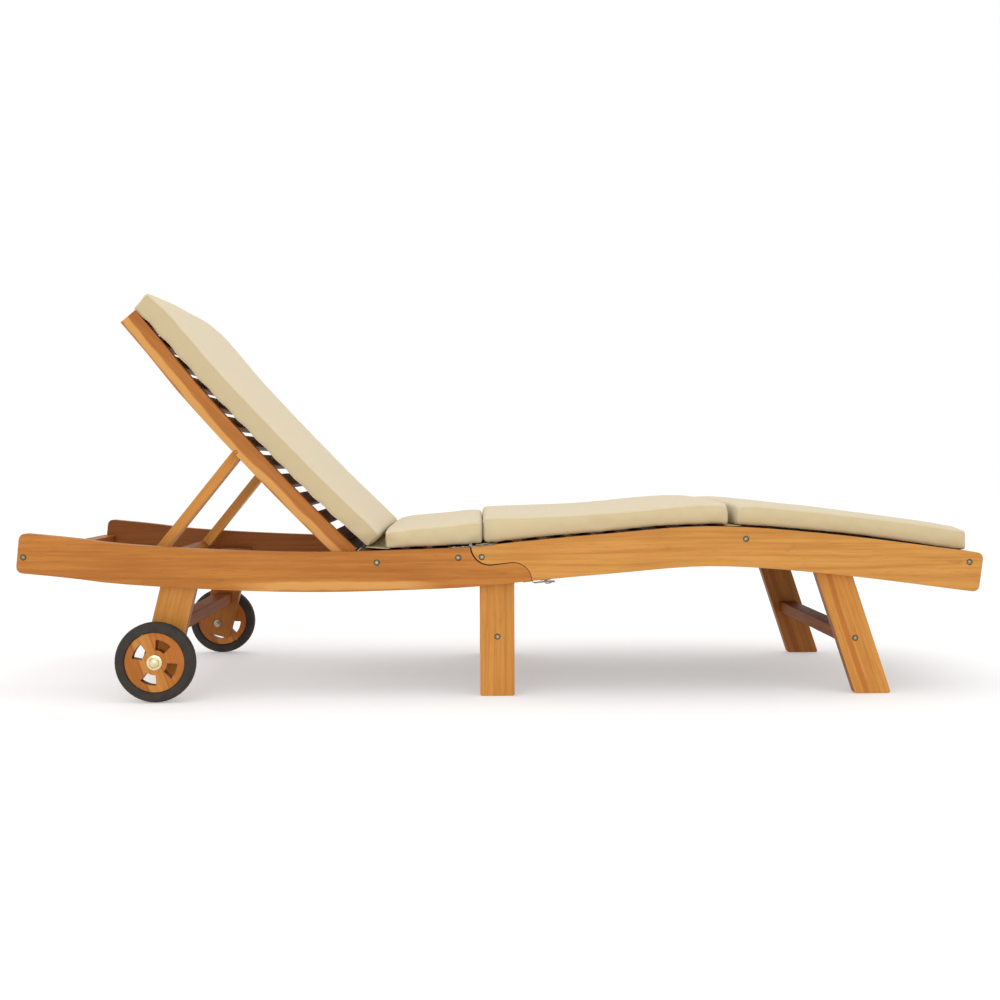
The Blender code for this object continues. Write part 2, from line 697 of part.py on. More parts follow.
def prop(pivot):
    """Two arms on pins in the back rails, joined by the bar that stands in the racks."""
    px, pz = PROP_PIN
    half = PROP_ARM_WIDE / 2
    arm = [(px + PROP_ARM_HEAD, pz - half), (px + PROP_ARM_HEAD, pz + half),
           (px - PROP_ARM_LENGTH, pz + half), (px - PROP_ARM_LENGTH, pz - half)]
    loops = [rounded(arm, (0, 1), 0.008, 4), circle(PROP_PIN, PROP_PIN_RADIUS + GAP)]
    for side, sign in SIDES:
        span = (sign * (PROP_OUTER - PROP_ARM_THICK), sign * PROP_OUTER)
        board("prop_arm_" + side, loops, span, WOOD, pivot)
    start = px - PROP_ARM_LENGTH - GAP
    along, across = PROP_BAR
    box("prop_bar", (start - along, -PROP_BAR_HALF, pz - across / 2),
        (start, PROP_BAR_HALF, pz + across / 2), WOOD, pivot, 0.0015)


def rack_top(x):
    x0, z0, slope = RACK_LINE
    return z0 + slope * (x - x0)


def racks():
    """Notched battens inside the side rails that the prop's bar stands in."""
    start, stop = RACK_X
    top = [(stop, rack_top(stop))]
    for notch in NOTCHES:
        for share, deep in NOTCH_FLANKS:
            x = notch + NOTCH_WIDE * share
            level = rack_top(notch) if deep else rack_top(x)
            top.append((x, level - NOTCH_DEEP * deep))
    top.append((start, rack_top(start)))
    low = [(start, rack_top(start) - RACK_DEPTH), (stop, rack_top(stop) - RACK_DEPTH)]
    for side, sign in SIDES:
        board("rack_" + side, [top + low], (sign * RACK_INNER, sign * BETWEEN), WOOD)


# ---- hinges ------------------------------------------------------------------------------------
def hinge_leaf(name, plate, tongue, at, radius, knuckles, pin, pivot=None):
    """A hinge leaf: its plate, and for each knuckle a tongue that runs into it.

    tongue(y_low, y_high) gives the tongue's mesh; knuckles are (y_low, y_high) spans.  A leaf
    with a pin, given by its own span, carries it right through the other leaf's knuckles.
    """
    leaf = new_object(name, plate, ZINC, pivot)
    for span in knuckles:
        boolean(leaf, tongue(*span), "UNION")
        boolean(leaf, cylinder_mesh(at, radius, *span), "UNION")
    if pin:
        boolean(leaf, cylinder_mesh(at, HINGE_PIN, *pin, segments=16), "UNION")
    else:
        low = min(span[0] for span in knuckles) - KNUCKLE_AIR
        high = max(span[1] for span in knuckles) + KNUCKLE_AIR
        boolean(leaf, cylinder_mesh(at, HINGE_PIN + GAP, low, high, segments=16), "DIFFERENCE")
    return leaf


def fold_hinges(fold):
    """Strap hinges on the rails' top edges, over the lap joint."""
    x = FOLD_PIN[0]
    clear = FOLD_KNUCKLE + KNUCKLE_AIR
    bite = clear + TONGUE_BITE
    head_reach, foot_reach = FOLD_STRAP_REACH
    top, low = -GAP - FOLD_STRAP_THICK, -GAP
    for side, sign in SIDES:
        middle = sign * (RAIL_INNER + RAIL_OUTER) / 2
        half = FOLD_STRAP_WIDTH / 2
        third = half / 2

        def head_tongue(y_low, y_high):
            return outline_mesh([strip(x - bite, x - TONGUE_START, top, low)], y_low, y_high)

        def foot_tongue(y_low, y_high):
            return outline_mesh([strip(x + TONGUE_START, x + bite, top, low)], y_low, y_high)

        plate = outline_mesh([strip(x - head_reach, x - clear, top, low)], middle - half, middle + half)
        hinge_leaf("fold_hinge_head_leaf_" + side, plate, head_tongue, FOLD_PIN, FOLD_KNUCKLE,
                   [(middle - third, middle + third)], (middle - half, middle + half))
        plate = outline_mesh([strip(x + clear, x + foot_reach, top, low)], middle - half, middle + half)
        hinge_leaf("fold_hinge_foot_leaf_" + side, plate, foot_tongue, FOLD_PIN, FOLD_KNUCKLE,
                   [(middle - half, middle - third - GAP), (middle + third + GAP, middle + half)],
                   None, fold)


def butt_hinges(back):
    """Butt hinges between the seat's rear rail and the back's lower rail."""
    x, z = BACK_PIN
    for side, sign in SIDES:
        middle = sign * BUTT_Y
        half = BUTT_LENGTH / 2
        sixth = BUTT_LENGTH / 6
        for name, way, pivot in (("seat", 1.0, None), ("back", -1.0, back)):
            inner = x + way * (BACK_FACE - GAP - BUTT_THICK)
            outer = x + way * (BACK_FACE - GAP)
            x_low, x_high = sorted((inner, outer))
            hook_low, hook_high = sorted((x + way * BUTT_KNUCKLE / 2, outer))

            def tongue(y_low, y_high):
                low = (hook_low, y_low, z - BUTT_KNUCKLE - BUTT_TONGUE[0])
                return block_mesh(low, (hook_high, y_high, z + BUTT_TONGUE[1]))

            plate = block_mesh((x_low, middle - half, z - BUTT_HIGH),
                               (x_high, middle + half, z - BUTT_KNUCKLE - KNUCKLE_AIR))
            if name == "seat":
                spans = [(middle - sixth, middle + sixth)]
                pin = (middle - half, middle + half)
            else:
                spans = [(middle - half, middle - sixth - GAP), (middle + sixth + GAP, middle + half)]
                pin = None
            hinge_leaf("back_hinge_" + name + "_leaf_" + side, plate, tongue, BACK_PIN,
                       BUTT_KNUCKLE, spans, pin, pivot)


# ---- toggle latches under the rails ------------------------------------------------------------
def latches(fold):
    """Draw latches that hold the lap joint shut: catch, base plate, lever and wire bail."""
    pin = below(LATCH_PIN_X, LATCH_PIN_DROP)
    wire_pin = below(BAIL_PIN_X, LATCH_PIN_DROP)
    low = RAIL_HEIGHT + GAP
    thick = LATCH_PLATE
    lip_thick, lip_deep = LATCH_LIP
    for side, sign in SIDES:
        middle = sign * LATCH_Y
        span = (middle - LATCH_HALF, middle + LATCH_HALF)
        start, stop = LATCH_CATCH
        catch = [below(start, low + thick), below(start, low), below(stop, low),
                 below(stop, low + lip_deep), below(stop - lip_thick, low + lip_deep),
                 below(stop - lip_thick, low + thick)]
        board("latch_catch_" + side, [catch], span, ZINC)

        plate = outline_mesh([strip(*LATCH_BASE, low, low + thick)], *span)
        base = new_object("latch_base_" + side, plate, ZINC, fold)
        for ear in (-1.0, 1.0):
            ends = sorted((middle + ear * LATCH_HALF, middle + ear * (LEVER_HALF + EAR_AIR)))
            reach = LATCH_EYE
            root = low + thick / 2
            outline = [below(LATCH_PIN_X + reach, root), below(LATCH_PIN_X - reach, root),
                       (pin[0] - reach, pin[1]), (pin[0] - reach / 2, pin[1] - reach),
                       (pin[0] + reach / 2, pin[1] - reach), (pin[0] + reach, pin[1])]
            boolean(base, outline_mesh([outline], *ends), "UNION")
        boolean(base, cylinder_mesh(pin, LATCH_PIN_RADIUS, *span, segments=12), "UNION")

        lever_axis = joint_empty("lever_axis_" + side, (pin[0], middle, pin[1]), 0.0, fold)
        lean = math.atan(crown_slope(LATCH_PIN_X))
        tip = Vector((LEVER_TIP_X, pin[1] + (LEVER_TIP_X - pin[0]) * math.tan(lean)))
        blade = [tuple(tip + Vector((0.0, -LEVER_THICK))), tuple(tip)]
        ring = arc(pin, LATCH_EYE, math.radians(40.0), math.radians(320.0), 12)
        outline = [blade[1]] + ring + [blade[0]]
        hole = circle(pin, LATCH_PIN_RADIUS + GAP, 12)
        edge = (middle - LEVER_HALF, middle + LEVER_HALF)
        lever = board("latch_lever_" + side, [outline, hole], edge, ZINC, lever_axis)
        stub = (middle - BAIL_HALF + BAIL_WIRE + GAP, middle + BAIL_HALF - BAIL_WIRE - GAP)
        boolean(lever, cylinder_mesh(wire_pin, BAIL_WIRE, *stub, segments=12), "UNION")
        bail(side, middle, wire_pin, lever_axis)


def bail(side, middle, wire_pin, lever_axis):
    """The wire loop that hangs on the lever's pin and hooks behind the catch."""
    axis = joint_empty("bail_axis_" + side, (wire_pin[0], middle, wire_pin[1]), 0.0, lever_axis)
    tip = below(BAIL_TIP_X, LATCH_PIN_DROP)
    quarter = math.radians(90.0)
    centre = (tip[0] + BAIL_BEND, -BAIL_HALF + BAIL_BEND)
    bend = arc(centre, BAIL_BEND, 3 * quarter, 2 * quarter, 2)
    half = [(wire_pin[0], -BAIL_HALF, wire_pin[1])] + [(x, y, tip[1]) for x, y in bend]
    route = half + [(x, -y, z) for x, y, z in reversed(half)]
    curve = bpy.data.curves.new("bail", "CURVE")
    curve.dimensions = "3D"
    curve.bevel_depth = BAIL_WIRE
    curve.bevel_resolution = 2
    curve.use_fill_caps = True
    spline = curve.splines.new("POLY")
    spline.points.add(len(route) - 1)
    for point, (x, y, z) in zip(spline.points, route):
        point.co = (x, middle + y, z, 1.0)
    thing = bpy.data.objects.new("bail", curve)
    CUTTERS.objects.link(thing)
    new_object("latch_bail_" + side, to_mesh(thing), ZINC, axis)


# ---- cushions ----------------------------------------------------------------------------------
def cushion(name, ends, pivot=None):
    outline = strip(ends[0], ends[1], -CUSHION_AIR - CUSHION_THICK, -CUSHION_AIR, 0.06)
    half = len(outline) // 2
    outline = rounded(outline, (0, half - 1, half, len(outline) - 1), CUSHION_ROUND, 3)
    board(name, [outline], (-CUSHION_HALF, CUSHION_HALF), FABRIC, pivot)


def cushions(back, fold):
    cushion("seat_cushion", SEAT_CUSHION)
    cushion("knee_cushion", KNEE_CUSHION, fold)
    cushion("foot_cushion", FOOT_CUSHION, fold)
    start, stop = (BACK_PIN[0] + end for end in BACK_CUSHION)
    thin, more = BACK_CUSHION_AIR
    places = stations(start, stop, 0.06)
    airs = [thin + more * math.sqrt((x - start) / (stop - start)) for x in places]
    under = [below(x, -air) for x, air in zip(places, airs)]
    upper = [below(x, -air - BACK_CUSHION_THICK) for x, air in zip(places, airs)]
    outline = upper + under[::-1]
    half = len(upper)
    outline = rounded(outline, (0, half - 1, half, len(outline) - 1), CUSHION_ROUND, 3)
    board("back_cushion", [outline], (-CUSHION_HALF, CUSHION_HALF), FABRIC, back)


def build():
    fold = joint_empty("fold_axis", (FOLD_PIN[0], 0.0, FOLD_PIN[1]))
    back = joint_empty("back_axis", (BACK_PIN[0], 0.0, BACK_PIN[1]), BACK_ANGLE)
    prop_axis = joint_empty("prop_axis", (PROP_PIN[0], 0.0, PROP_PIN[1]), -PROP_ANGLE)
    side_rails(fold)
    seat_deck()
    foot_deck(fold)
    legs(fold)
    wheels()
    racks()
    back_frame(back)
    prop(prop_axis)
    fold_hinges(fold)
    butt_hinges(back)
    latches(fold)
    cushions(back, fold)


build()
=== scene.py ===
"""Looks for the folding sun lounger: oiled hardwood, cloth cushions and small hardware.

Metres, +Z up; +X is the foot end and -Y the side towards the camera.
"""
import json
import math
import random

import bmesh
import bpy
import numpy as np
from mathutils import Matrix, Vector, noise
from mathutils.bvhtree import BVHTree


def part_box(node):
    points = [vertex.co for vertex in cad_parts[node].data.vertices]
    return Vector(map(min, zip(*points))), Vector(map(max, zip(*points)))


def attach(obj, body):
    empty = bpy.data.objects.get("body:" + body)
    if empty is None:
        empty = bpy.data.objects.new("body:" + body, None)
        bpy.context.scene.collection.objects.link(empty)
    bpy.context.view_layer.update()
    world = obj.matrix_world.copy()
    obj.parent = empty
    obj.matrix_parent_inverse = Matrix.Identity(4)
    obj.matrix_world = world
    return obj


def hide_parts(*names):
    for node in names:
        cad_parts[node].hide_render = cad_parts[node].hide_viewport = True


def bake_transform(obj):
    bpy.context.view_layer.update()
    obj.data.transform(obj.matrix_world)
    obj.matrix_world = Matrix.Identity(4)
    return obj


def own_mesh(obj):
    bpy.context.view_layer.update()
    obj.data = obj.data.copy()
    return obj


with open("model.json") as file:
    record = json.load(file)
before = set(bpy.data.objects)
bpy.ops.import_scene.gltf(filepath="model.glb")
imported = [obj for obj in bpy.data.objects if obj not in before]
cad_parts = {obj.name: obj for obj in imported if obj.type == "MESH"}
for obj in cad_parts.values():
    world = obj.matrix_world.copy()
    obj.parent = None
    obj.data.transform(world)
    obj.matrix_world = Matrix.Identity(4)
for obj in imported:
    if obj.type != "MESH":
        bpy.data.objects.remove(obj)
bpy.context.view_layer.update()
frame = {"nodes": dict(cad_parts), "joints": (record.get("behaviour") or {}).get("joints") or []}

NODES = frame["nodes"]
SIDES = (("right", -1.0), ("left", 1.0))
JOINTS = {joint["name"]: joint for joint in frame["joints"]}
BACK_PIN = Vector(JOINTS["back_recline"]["pos_m"])
BACK_LEAN = math.radians(-JOINTS["back_recline"]["range_deg"][0])
PROP_PIN = Vector(JOINTS["prop_swing"]["pos_m"])
PROP_LEAN = math.radians(51.0)
WHEEL_PIN = Vector(JOINTS["wheel_spin_right"]["pos_m"])
FOOT_LEG_LEAN = math.radians(18.4)
WHEEL_LEG_LEAN = math.radians(14.0)
RAIL_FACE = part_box("head_rail_left")[1][1]
BACK_RAIL_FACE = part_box("back_rail_left")[1][1]
LEG_INNER, LEG_FACE = (corner[1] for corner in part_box("middle_leg_left"))
DISC_RADIUS = (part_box("wheel_disc_left")[1][0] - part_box("wheel_disc_left")[0][0]) / 2
WHITE = (1.0, 1.0, 1.0, 1.0)
NO_SHIFT = (0.0, 0.0, 0.0)


# ---- camera, light and floor -------------------------------------------------------------------
CAMERA_PLACE = (-0.051, -2.794, 0.489)
CAMERA_TURN = (1.03, -1.807, -0.20)  # yaw, pitch and roll in degrees
CAMERA_LENS = 43.4
CAMERA_SENSOR = 36.0
CAMERA_REACH = 100.0
LAMPS = (
  # name, place, what it is aimed at, size, power, colour
    ("overhead", (0.1, -0.6, 2.8), (0.0, 0.0, 0.2), (3.2, 2.2), 12.0, (0.96, 0.98, 1.0)),
    ("front", (-0.6, -3.4, 1.1), (0.0, 0.0, 0.3), (2.6, 1.2), 14.0, (1.0, 0.98, 0.95)),
)
FLOOR_HALF = 14.0
FLOOR_DROP = 0.0006  # keeps the floor clear of the feet
FLOOR_TONE = (0.74, 0.74, 0.74, 1.0)
FLOOR_ROUGH = 0.9
FLOOR_GLOW = 0.30  # lightens the shadow


def camera():
    yaw, pitch, roll = (math.radians(angle) for angle in CAMERA_TURN)
    ahead = Vector((math.sin(yaw) * math.cos(pitch), math.cos(yaw) * math.cos(pitch), math.sin(pitch)))
    level = Vector((math.cos(yaw), -math.sin(yaw), 0.0))
    up = level.cross(ahead)
    right = level * math.cos(roll) + up * math.sin(roll)
    top = up * math.cos(roll) - level * math.sin(roll)
    data = bpy.data.cameras.new("camera")
    data.sensor_width = CAMERA_SENSOR
    data.lens = CAMERA_LENS
    data.clip_end = CAMERA_REACH
    eye = bpy.data.objects.new("camera", data)
    turn = Matrix((right, top, -ahead)).transposed().to_4x4()
    eye.matrix_world = Matrix.Translation(CAMERA_PLACE) @ turn
    bpy.context.scene.collection.objects.link(eye)
    bpy.context.scene.camera = eye


def area_light(name, place, target, size, power, colour):
    data = bpy.data.lights.new(name, "AREA")
    data.shape = "RECTANGLE"
    data.size, data.size_y = size
    data.energy = power
    data.color = colour
    lamp = bpy.data.objects.new(name, data)
    lamp.location = place
    lamp.rotation_euler = (Vector(target) - Vector(place)).to_track_quat("-Z", "Y").to_euler()
    bpy.context.scene.collection.objects.link(lamp)


def studio():
    world = bpy.data.worlds.new("studio")
    bpy.context.scene.world = world
    world.use_nodes = True
    sky = world.node_tree.nodes["Background"]
    sky.inputs["Color"].default_value = WHITE
    sky.inputs["Strength"].default_value = 1.0
    for lamp in LAMPS:
        area_light(*lamp)
    bpy.context.scene.view_settings.view_transform = "Standard"
    mesh = bpy.data.meshes.new("floor")
    work = bmesh.new()
    bmesh.ops.create_grid(work, x_segments=1, y_segments=1, size=FLOOR_HALF)
    work.to_mesh(mesh)
    work.free()
    floor = bpy.data.objects.new("floor", mesh)
    floor.location = (0.0, 0.0, -FLOOR_DROP)
    bpy.context.scene.collection.objects.link(floor)
    pale = bpy.data.materials.new("pale_floor")
    pale.use_nodes = True
    shader = pale.node_tree.nodes["Principled BSDF"]
    shader.inputs["Base Color"].default_value = FLOOR_TONE
    shader.inputs["Roughness"].default_value = FLOOR_ROUGH
    shader.inputs["Specular IOR Level"].default_value = 0.0
    shader.inputs["Emission Color"].default_value = WHITE
    shader.inputs["Emission Strength"].default_value = FLOOR_GLOW
    mesh.materials.append(pale)


# ---- node materials ----------------------------------------------------------------------------
MIX_INPUTS = (0, 6, 7)  # share, first and second colour of a Mix node
MIX_RESULT = 2


class Paint:
    """A node material under construction."""

    def __init__(self, name):
        self.material = bpy.data.materials.new(name)
        self.material.use_nodes = True
        self.tree = self.material.node_tree
        self.shader = self.tree.nodes["Principled BSDF"]

    def node(self, kind, inputs=None, **settings):
        made = self.tree.nodes.new("ShaderNode" + kind)
        for key, value in settings.items():
            setattr(made, key, value)
        for key, value in (inputs or {}).items():
            self.feed(made.inputs[key], value)
        return made

    def feed(self, socket, value):
        if isinstance(value, bpy.types.NodeSocket):
            self.tree.links.new(value, socket)
        else:
            socket.default_value = value

    def out(self, kind, inputs=None, socket=0, **settings):
        return self.node(kind, inputs, **settings).outputs[socket]

    def spot(self):
        return self.out("TexCoord", socket="Object")

    def facing(self):
        return self.out("TexCoord", socket="Normal")

    def part(self, vector, axis):
        return self.node("SeparateXYZ", {0: vector}).outputs[axis]

    def math(self, operation, first, second=0.0):
        return self.out("Math", {0: first, 1: second}, operation=operation)

    def vector(self, operation, first, second, socket=0):
        return self.out("VectorMath", {0: first, 1: second}, socket, operation=operation)

    def place(self, vector, rotation=NO_SHIFT, shift=NO_SHIFT, scale=(1.0, 1.0, 1.0)):
        inputs = {"Vector": vector, "Location": shift, "Rotation": rotation, "Scale": scale}
        return self.out("Mapping", inputs)

    def noise(self, vector, scale=1.0, detail=3.0, rough=0.5):
        return self.out("TexNoise", {"Vector": vector, "Scale": scale, "Detail": detail, "Roughness": rough})

    def steps(self, value, stops):
        """A ramp of flat steps of colour."""
        made = self.node("ValToRGB", {0: value})
        band = made.color_ramp
        band.interpolation = "CONSTANT"
        while len(band.elements) < len(stops):
            band.elements.new(0.5)
        for element, (where, tone) in zip(band.elements, stops):
            element.position = where
            element.color = (*tone, 1.0)
        return made.outputs[0]

    def span(self, value, low, high, to_low=0.0, to_high=1.0):
        return self.out("MapRange", {0: value, 1: low, 2: high, 3: to_low, 4: to_high})

    def mix(self, share, first, second, blend="MIX"):
        made = self.node("Mix", None, data_type="RGBA", blend_type=blend)
        for index, value in zip(MIX_INPUTS, (share, first, second)):
            self.feed(made.inputs[index], value)
        return made.outputs[MIX_RESULT]

    def bump(self, height, strength, distance, normal=None):
        made = self.node("Bump", {"Height": height, "Strength": strength, "Distance": distance})
        if normal is not None:
            self.feed(made.inputs["Normal"], normal)
        return made.outputs[0]

    def finish(self, colour, rough, normal=None, **values):
        for key, value in (("Base Color", colour), ("Roughness", rough), ("Normal", normal)):
            if value is not None:
                self.feed(self.shader.inputs[key], value)
        for key, value in values.items():
            self.shader.inputs[key.replace("_", " ")].default_value = value
        return self.material


def rgb(red, green, blue):
    """Linear colour from its 0-255 display values."""
    def linear(level):
        level /= 255.0
        return level / 12.92 if level <= 0.04045 else ((level + 0.055) / 1.055) ** 2.4
    return (linear(red), linear(green), linear(blue), 1.0)


def tint(tone, factors):
    return (*(level * factor for level, factor in zip(tone, factors)), 1.0)


# ---- hardwood ----------------------------------------------------------------------------------
HONEY = rgb(201, 141, 68)
TAWNY = rgb(181, 115, 47)
AMBER = rgb(197, 134, 60)
RUSSET = rgb(172, 106, 44)
# darker wood for the rack, cross rails and back slats: painted shade for their place under the cushions
UNDER_DECK_PAINTED_SHADE = rgb(118, 68, 28)
# the slats' wood darkened to near black: painted shade under the cushions
SLAT_PAINTED_SHADE = rgb(66, 35, 15)
# the stretchers darkened: painted shade for their place under the deck
STRETCHER_PAINTED_SHADE = rgb(140, 80, 34)
HEARTWOOD = rgb(168, 92, 34)
PLANK = rgb(184, 116, 48)
SAPWOOD = rgb(220, 165, 92)
# painted shade on the inner faces, which look across the lounger and get little light
INNER_PAINTED_SHADE = (0.48, 0.36, 0.23, 1.0)
INNER_SPAN = (0.5, 0.9, 0.0, 0.85)
# painted shade on the narrow faces of the legs and on the walls of the disc's windows and rim
EDGE_PAINTED_SHADE = (0.40, 0.30, 0.22, 1.0)
EDGE_SPAN = (0.5, 0.2, 0.0, 0.85)
SHINE = 0.22
DULL_SHINE = 0.04  # for what is only seen at a grazing angle, under the deck
SEED_STEP = 7
SEED_START = 3
BOARD_SHIFT = (3.0, 0.3, 0.3)  # how far a board's figure may be moved along each axis
GRAIN_TINTS = {
    "light": (1.16, 1.20, 1.28),
    "deep": (0.76, 0.66, 0.52),
    "pore": (0.40, 0.30, 0.22),
    "smudge": (0.50, 0.40, 0.30),
}
GRAIN_NOISES = {
  # frequency along the grain and across it, detail, roughness, shift, whether it wanders
    "streaks": (3.4, 95.0, 4.0, 0.62, NO_SHIFT, True),
    "fibre": (16.0, 520.0, 2.0, 0.55, NO_SHIFT, True),
    "pores": (34.0, 620.0, 1.0, 0.40, NO_SHIFT, False),
    "patch": (2.6, 9.0, 2.0, 0.50, (5.0, 1.0, 2.0), False),
    "smudge": (14.0, 40.0, 2.0, 0.50, (1.0, 3.0, 2.0), False),
}
GRAIN_LAYERS = (
  # what it follows, the levels it fades in between, its strength, its tint
    ("patch", 0.48, 0.30, 0.75, "deep"),
    ("patch", 0.51, 0.68, 0.65, "light"),
    ("rings", 0.55, 1.00, 0.34, "deep"),
    ("streaks", 0.50, 0.68, 0.70, "deep"),
    ("streaks", 0.48, 0.32, 0.55, "light"),
    ("fibre", 0.45, 0.75, 0.32, "deep"),
    ("pores", 0.00, 1.00, 0.26, "pore"),
    ("smudge", 0.70, 0.80, 0.45, "smudge"),
)
SWAY_SCALE = (1.6, 7.0, 7.0)
SWAY = 0.022
PITH_HIGH = (0.04, 0.09)
PITH_SIDE = 0.06
PITH_TILT = 0.04
PITH_SCALE = (0.12, 1.0, 1.0)
RINGS = {"Scale": 26.0, "Distortion": 2.2, "Detail": 2.0, "Detail Scale": 1.0, "Detail Roughness": 0.5}
PORE_LEVELS = (0.64, 0.74)
WOOD_ROUGH = (0.2, 0.8, 0.40, 0.56)
FIBRE_RELIEF = 0.5
PORE_RELIEF = 0.8
WOOD_BUMP = (0.22, 0.0003)  # strength and distance
PLANK_TONES = ((0.00, (0.84, 0.74, 0.62)), (0.26, (1.12, 1.26, 1.45)), (0.575, (0.62, 0.50, 0.40)),
               (0.585, (0.96, 0.86, 0.76)))
BAND_WANDER = 0.35  # of a band's half width
WANDER_SCALE = (9.0, 9.0, 9.0)
BAND_CORE = 0.6  # share of the half width that has its full tone
BAND_FADE = 0.04
BAND_STRENGTH = 0.62
BOW_FROM = 0.08  # distance along a band from its point, where its bow starts
BOARDS = []  # names of the boards painted so far


def grain_rings(paint, bent, chance):
    """Growth rings round a far-off pith, faint under the oil."""
    pith = (0.0, chance.uniform(*PITH_HIGH), chance.uniform(-PITH_SIDE, PITH_SIDE))
    tilt = (0.0, chance.uniform(-PITH_TILT, PITH_TILT), chance.uniform(-PITH_TILT, PITH_TILT))
    heart = paint.place(bent, tilt, pith, PITH_SCALE)
    return paint.out("TexWave", {"Vector": heart, **RINGS}, socket=1,
                     wave_type="RINGS", rings_direction="X", wave_profile="SIN")


def banded(paint, colour, spot, band):
    """Lays a band of another tone over the colour, its edges wandering a little."""
    point, normal, half, run, tone, bow = band
    across = paint.vector("DOT_PRODUCT", spot, (normal[0], 0.0, normal[1]), socket=1)
    wave = paint.noise(paint.place(spot, scale=WANDER_SCALE), 1.0, 2.0)
    across = paint.math("ADD", across, paint.span(wave, 0.3, 0.7, -BAND_WANDER * half, BAND_WANDER * half))
    if bow:
        start = BOW_FROM + point[1] * normal[0] - point[0] * normal[1]
        up = paint.vector("DOT_PRODUCT", spot, (-normal[1], 0.0, normal[0]), socket=1)
        up = paint.math("SUBTRACT", up, start)
        rise = paint.math("MULTIPLY", paint.math("MULTIPLY", up, up), bow)
        across = paint.math("SUBTRACT", across, rise)
    middle = point[0] * normal[0] + point[1] * normal[1]
    off = paint.math("ABSOLUTE", paint.math("SUBTRACT", across, middle))
    shown = paint.span(off, half, half * BAND_CORE)
    along = paint.part(spot, 0)
    shown = paint.math("MULTIPLY", shown, paint.span(along, run[0] - BAND_FADE, run[0] + BAND_FADE))
    shown = paint.math("MULTIPLY", shown, paint.span(along, run[1] + BAND_FADE, run[1] - BAND_FADE))
    return paint.mix(paint.math("MULTIPLY", shown, BAND_STRENGTH), colour, tone)


def planked(paint, colour, spot, grain):
    """Tones of the planks that a wheel's disc is glued up from."""
    across = paint.part(paint.place(spot, grain), 2)
    hub = WHEEL_PIN.x * math.sin(-grain[1]) + WHEEL_PIN.z * math.cos(grain[1])
    across = paint.math("SUBTRACT", across, hub)
    tones = paint.steps(paint.span(across, -DISC_RADIUS, DISC_RADIUS), PLANK_TONES)
    return paint.mix(1.0, colour, tones, "MULTIPLY")


def wood(name, grain, tone, inner=0, band=None, planks=False, edges=False, shine=SHINE):
    """Oiled hardwood; grain is the rotation that brings the board's length onto X.

    inner is the way its inner face looks along Y, where that face gets painted shade, and 0 for none. edges
    puts painted shade on the faces that don't look along Y.
    """
    BOARDS.append(name)
    chance = random.Random(len(BOARDS) * SEED_STEP + SEED_START)
    shift = tuple(chance.uniform(-most, most) for most in BOARD_SHIFT)
    paint = Paint("hardwood_" + name)
    spot = paint.spot()
    board = paint.place(paint.place(spot, grain), shift=shift)
    slow = paint.place(board, scale=SWAY_SCALE)
    sway = paint.out("TexNoise", {"Vector": slow, "Scale": 1.0, "Detail": 2.0}, socket=1)
    sway = paint.vector("SUBTRACT", sway, (0.5, 0.5, 0.5))
    sway = paint.out("VectorMath", {0: sway, 3: SWAY}, operation="SCALE")
    bent = paint.vector("ADD", board, sway)
    figure = {"rings": grain_rings(paint, bent, chance)}
    for key, (along, across, detail, rough, moved, wanders) in GRAIN_NOISES.items():
        laid = paint.place(bent if wanders else board, shift=moved, scale=(along, across, across))
        figure[key] = paint.noise(laid, 1.0, detail, rough)
    figure["pores"] = paint.span(figure["pores"], *PORE_LEVELS)
    colour = tone
    for key, low, high, strength, shade in GRAIN_LAYERS:
        share = paint.span(figure[key], low, high, 0.0, strength)
        colour = paint.mix(share, colour, tint(tone, GRAIN_TINTS[shade]))
    if band:
        colour = banded(paint, colour, spot, band)
    if planks:
        colour = planked(paint, colour, spot, grain)
    facing = paint.part(paint.facing(), 1)
    # painted shade on the faces that don't look along Y
    if edges:
        turned = paint.span(paint.math("ABSOLUTE", facing), *EDGE_SPAN)
        colour = paint.mix(turned, colour, EDGE_PAINTED_SHADE, "MULTIPLY")
    # painted shade on the inner face
    if inner:
        shaded = paint.span(paint.math("MULTIPLY", facing, float(inner)), *INNER_SPAN)
        colour = paint.mix(shaded, colour, INNER_PAINTED_SHADE, "MULTIPLY")
    rough = paint.span(figure["fibre"], *WOOD_ROUGH)
    height = paint.math("SUBTRACT", paint.math("MULTIPLY", figure["fibre"], FIBRE_RELIEF),
                        paint.math("MULTIPLY", figure["pores"], PORE_RELIEF))
    return paint.finish(colour, rough, paint.bump(height, *WOOD_BUMP), Specular_IOR_Level=shine)


ALONG_X = (0.0, 0.0, 0.0)
ALONG_Y = (0.0, 0.0, -math.pi / 2)
ACROSS_BOARD = (math.pi / 2, 0.0, 0.0)


def in_plane(angle):
    """Grain that runs in the XZ plane, at this angle up from +X."""
    return (0.0, angle, 0.0)


# a band: a point (x, z) on its middle, its normal (x, z), its half width, the x it runs between,
# its tone, and its bow along the normal, per metre squared
HEAD_RAIL_BAND = ((-0.33, 0.2345), (0.0, 1.0), 0.010, (-0.52, -0.16), SAPWOOD, 0.0)
FOOT_LEG_NORMAL = (math.cos(FOOT_LEG_LEAN), math.sin(FOOT_LEG_LEAN))
FOOT_LEG_BAND = ((0.682, 0.252), FOOT_LEG_NORMAL, 0.0075, (0.60, 0.80), HEARTWOOD, 0.0)
BACK_NORMAL = (math.sin(BACK_LEAN), math.cos(BACK_LEAN))
BACK_RAIL_DROP = 0.0320  # from the hinge pin's line down to the back rail's band
BACK_RAIL_POINT = (BACK_PIN.x - BACK_RAIL_DROP * BACK_NORMAL[0],
                   BACK_PIN.z - BACK_RAIL_DROP * BACK_NORMAL[1])
# the back rail's band is painted light: a lighter strip along its back edge, where the real rail's chamfer
# catches the light
BACK_RAIL_BAND = (BACK_RAIL_POINT, BACK_NORMAL, 0.0095, (-1.05, -0.28), SAPWOOD, 0.126)
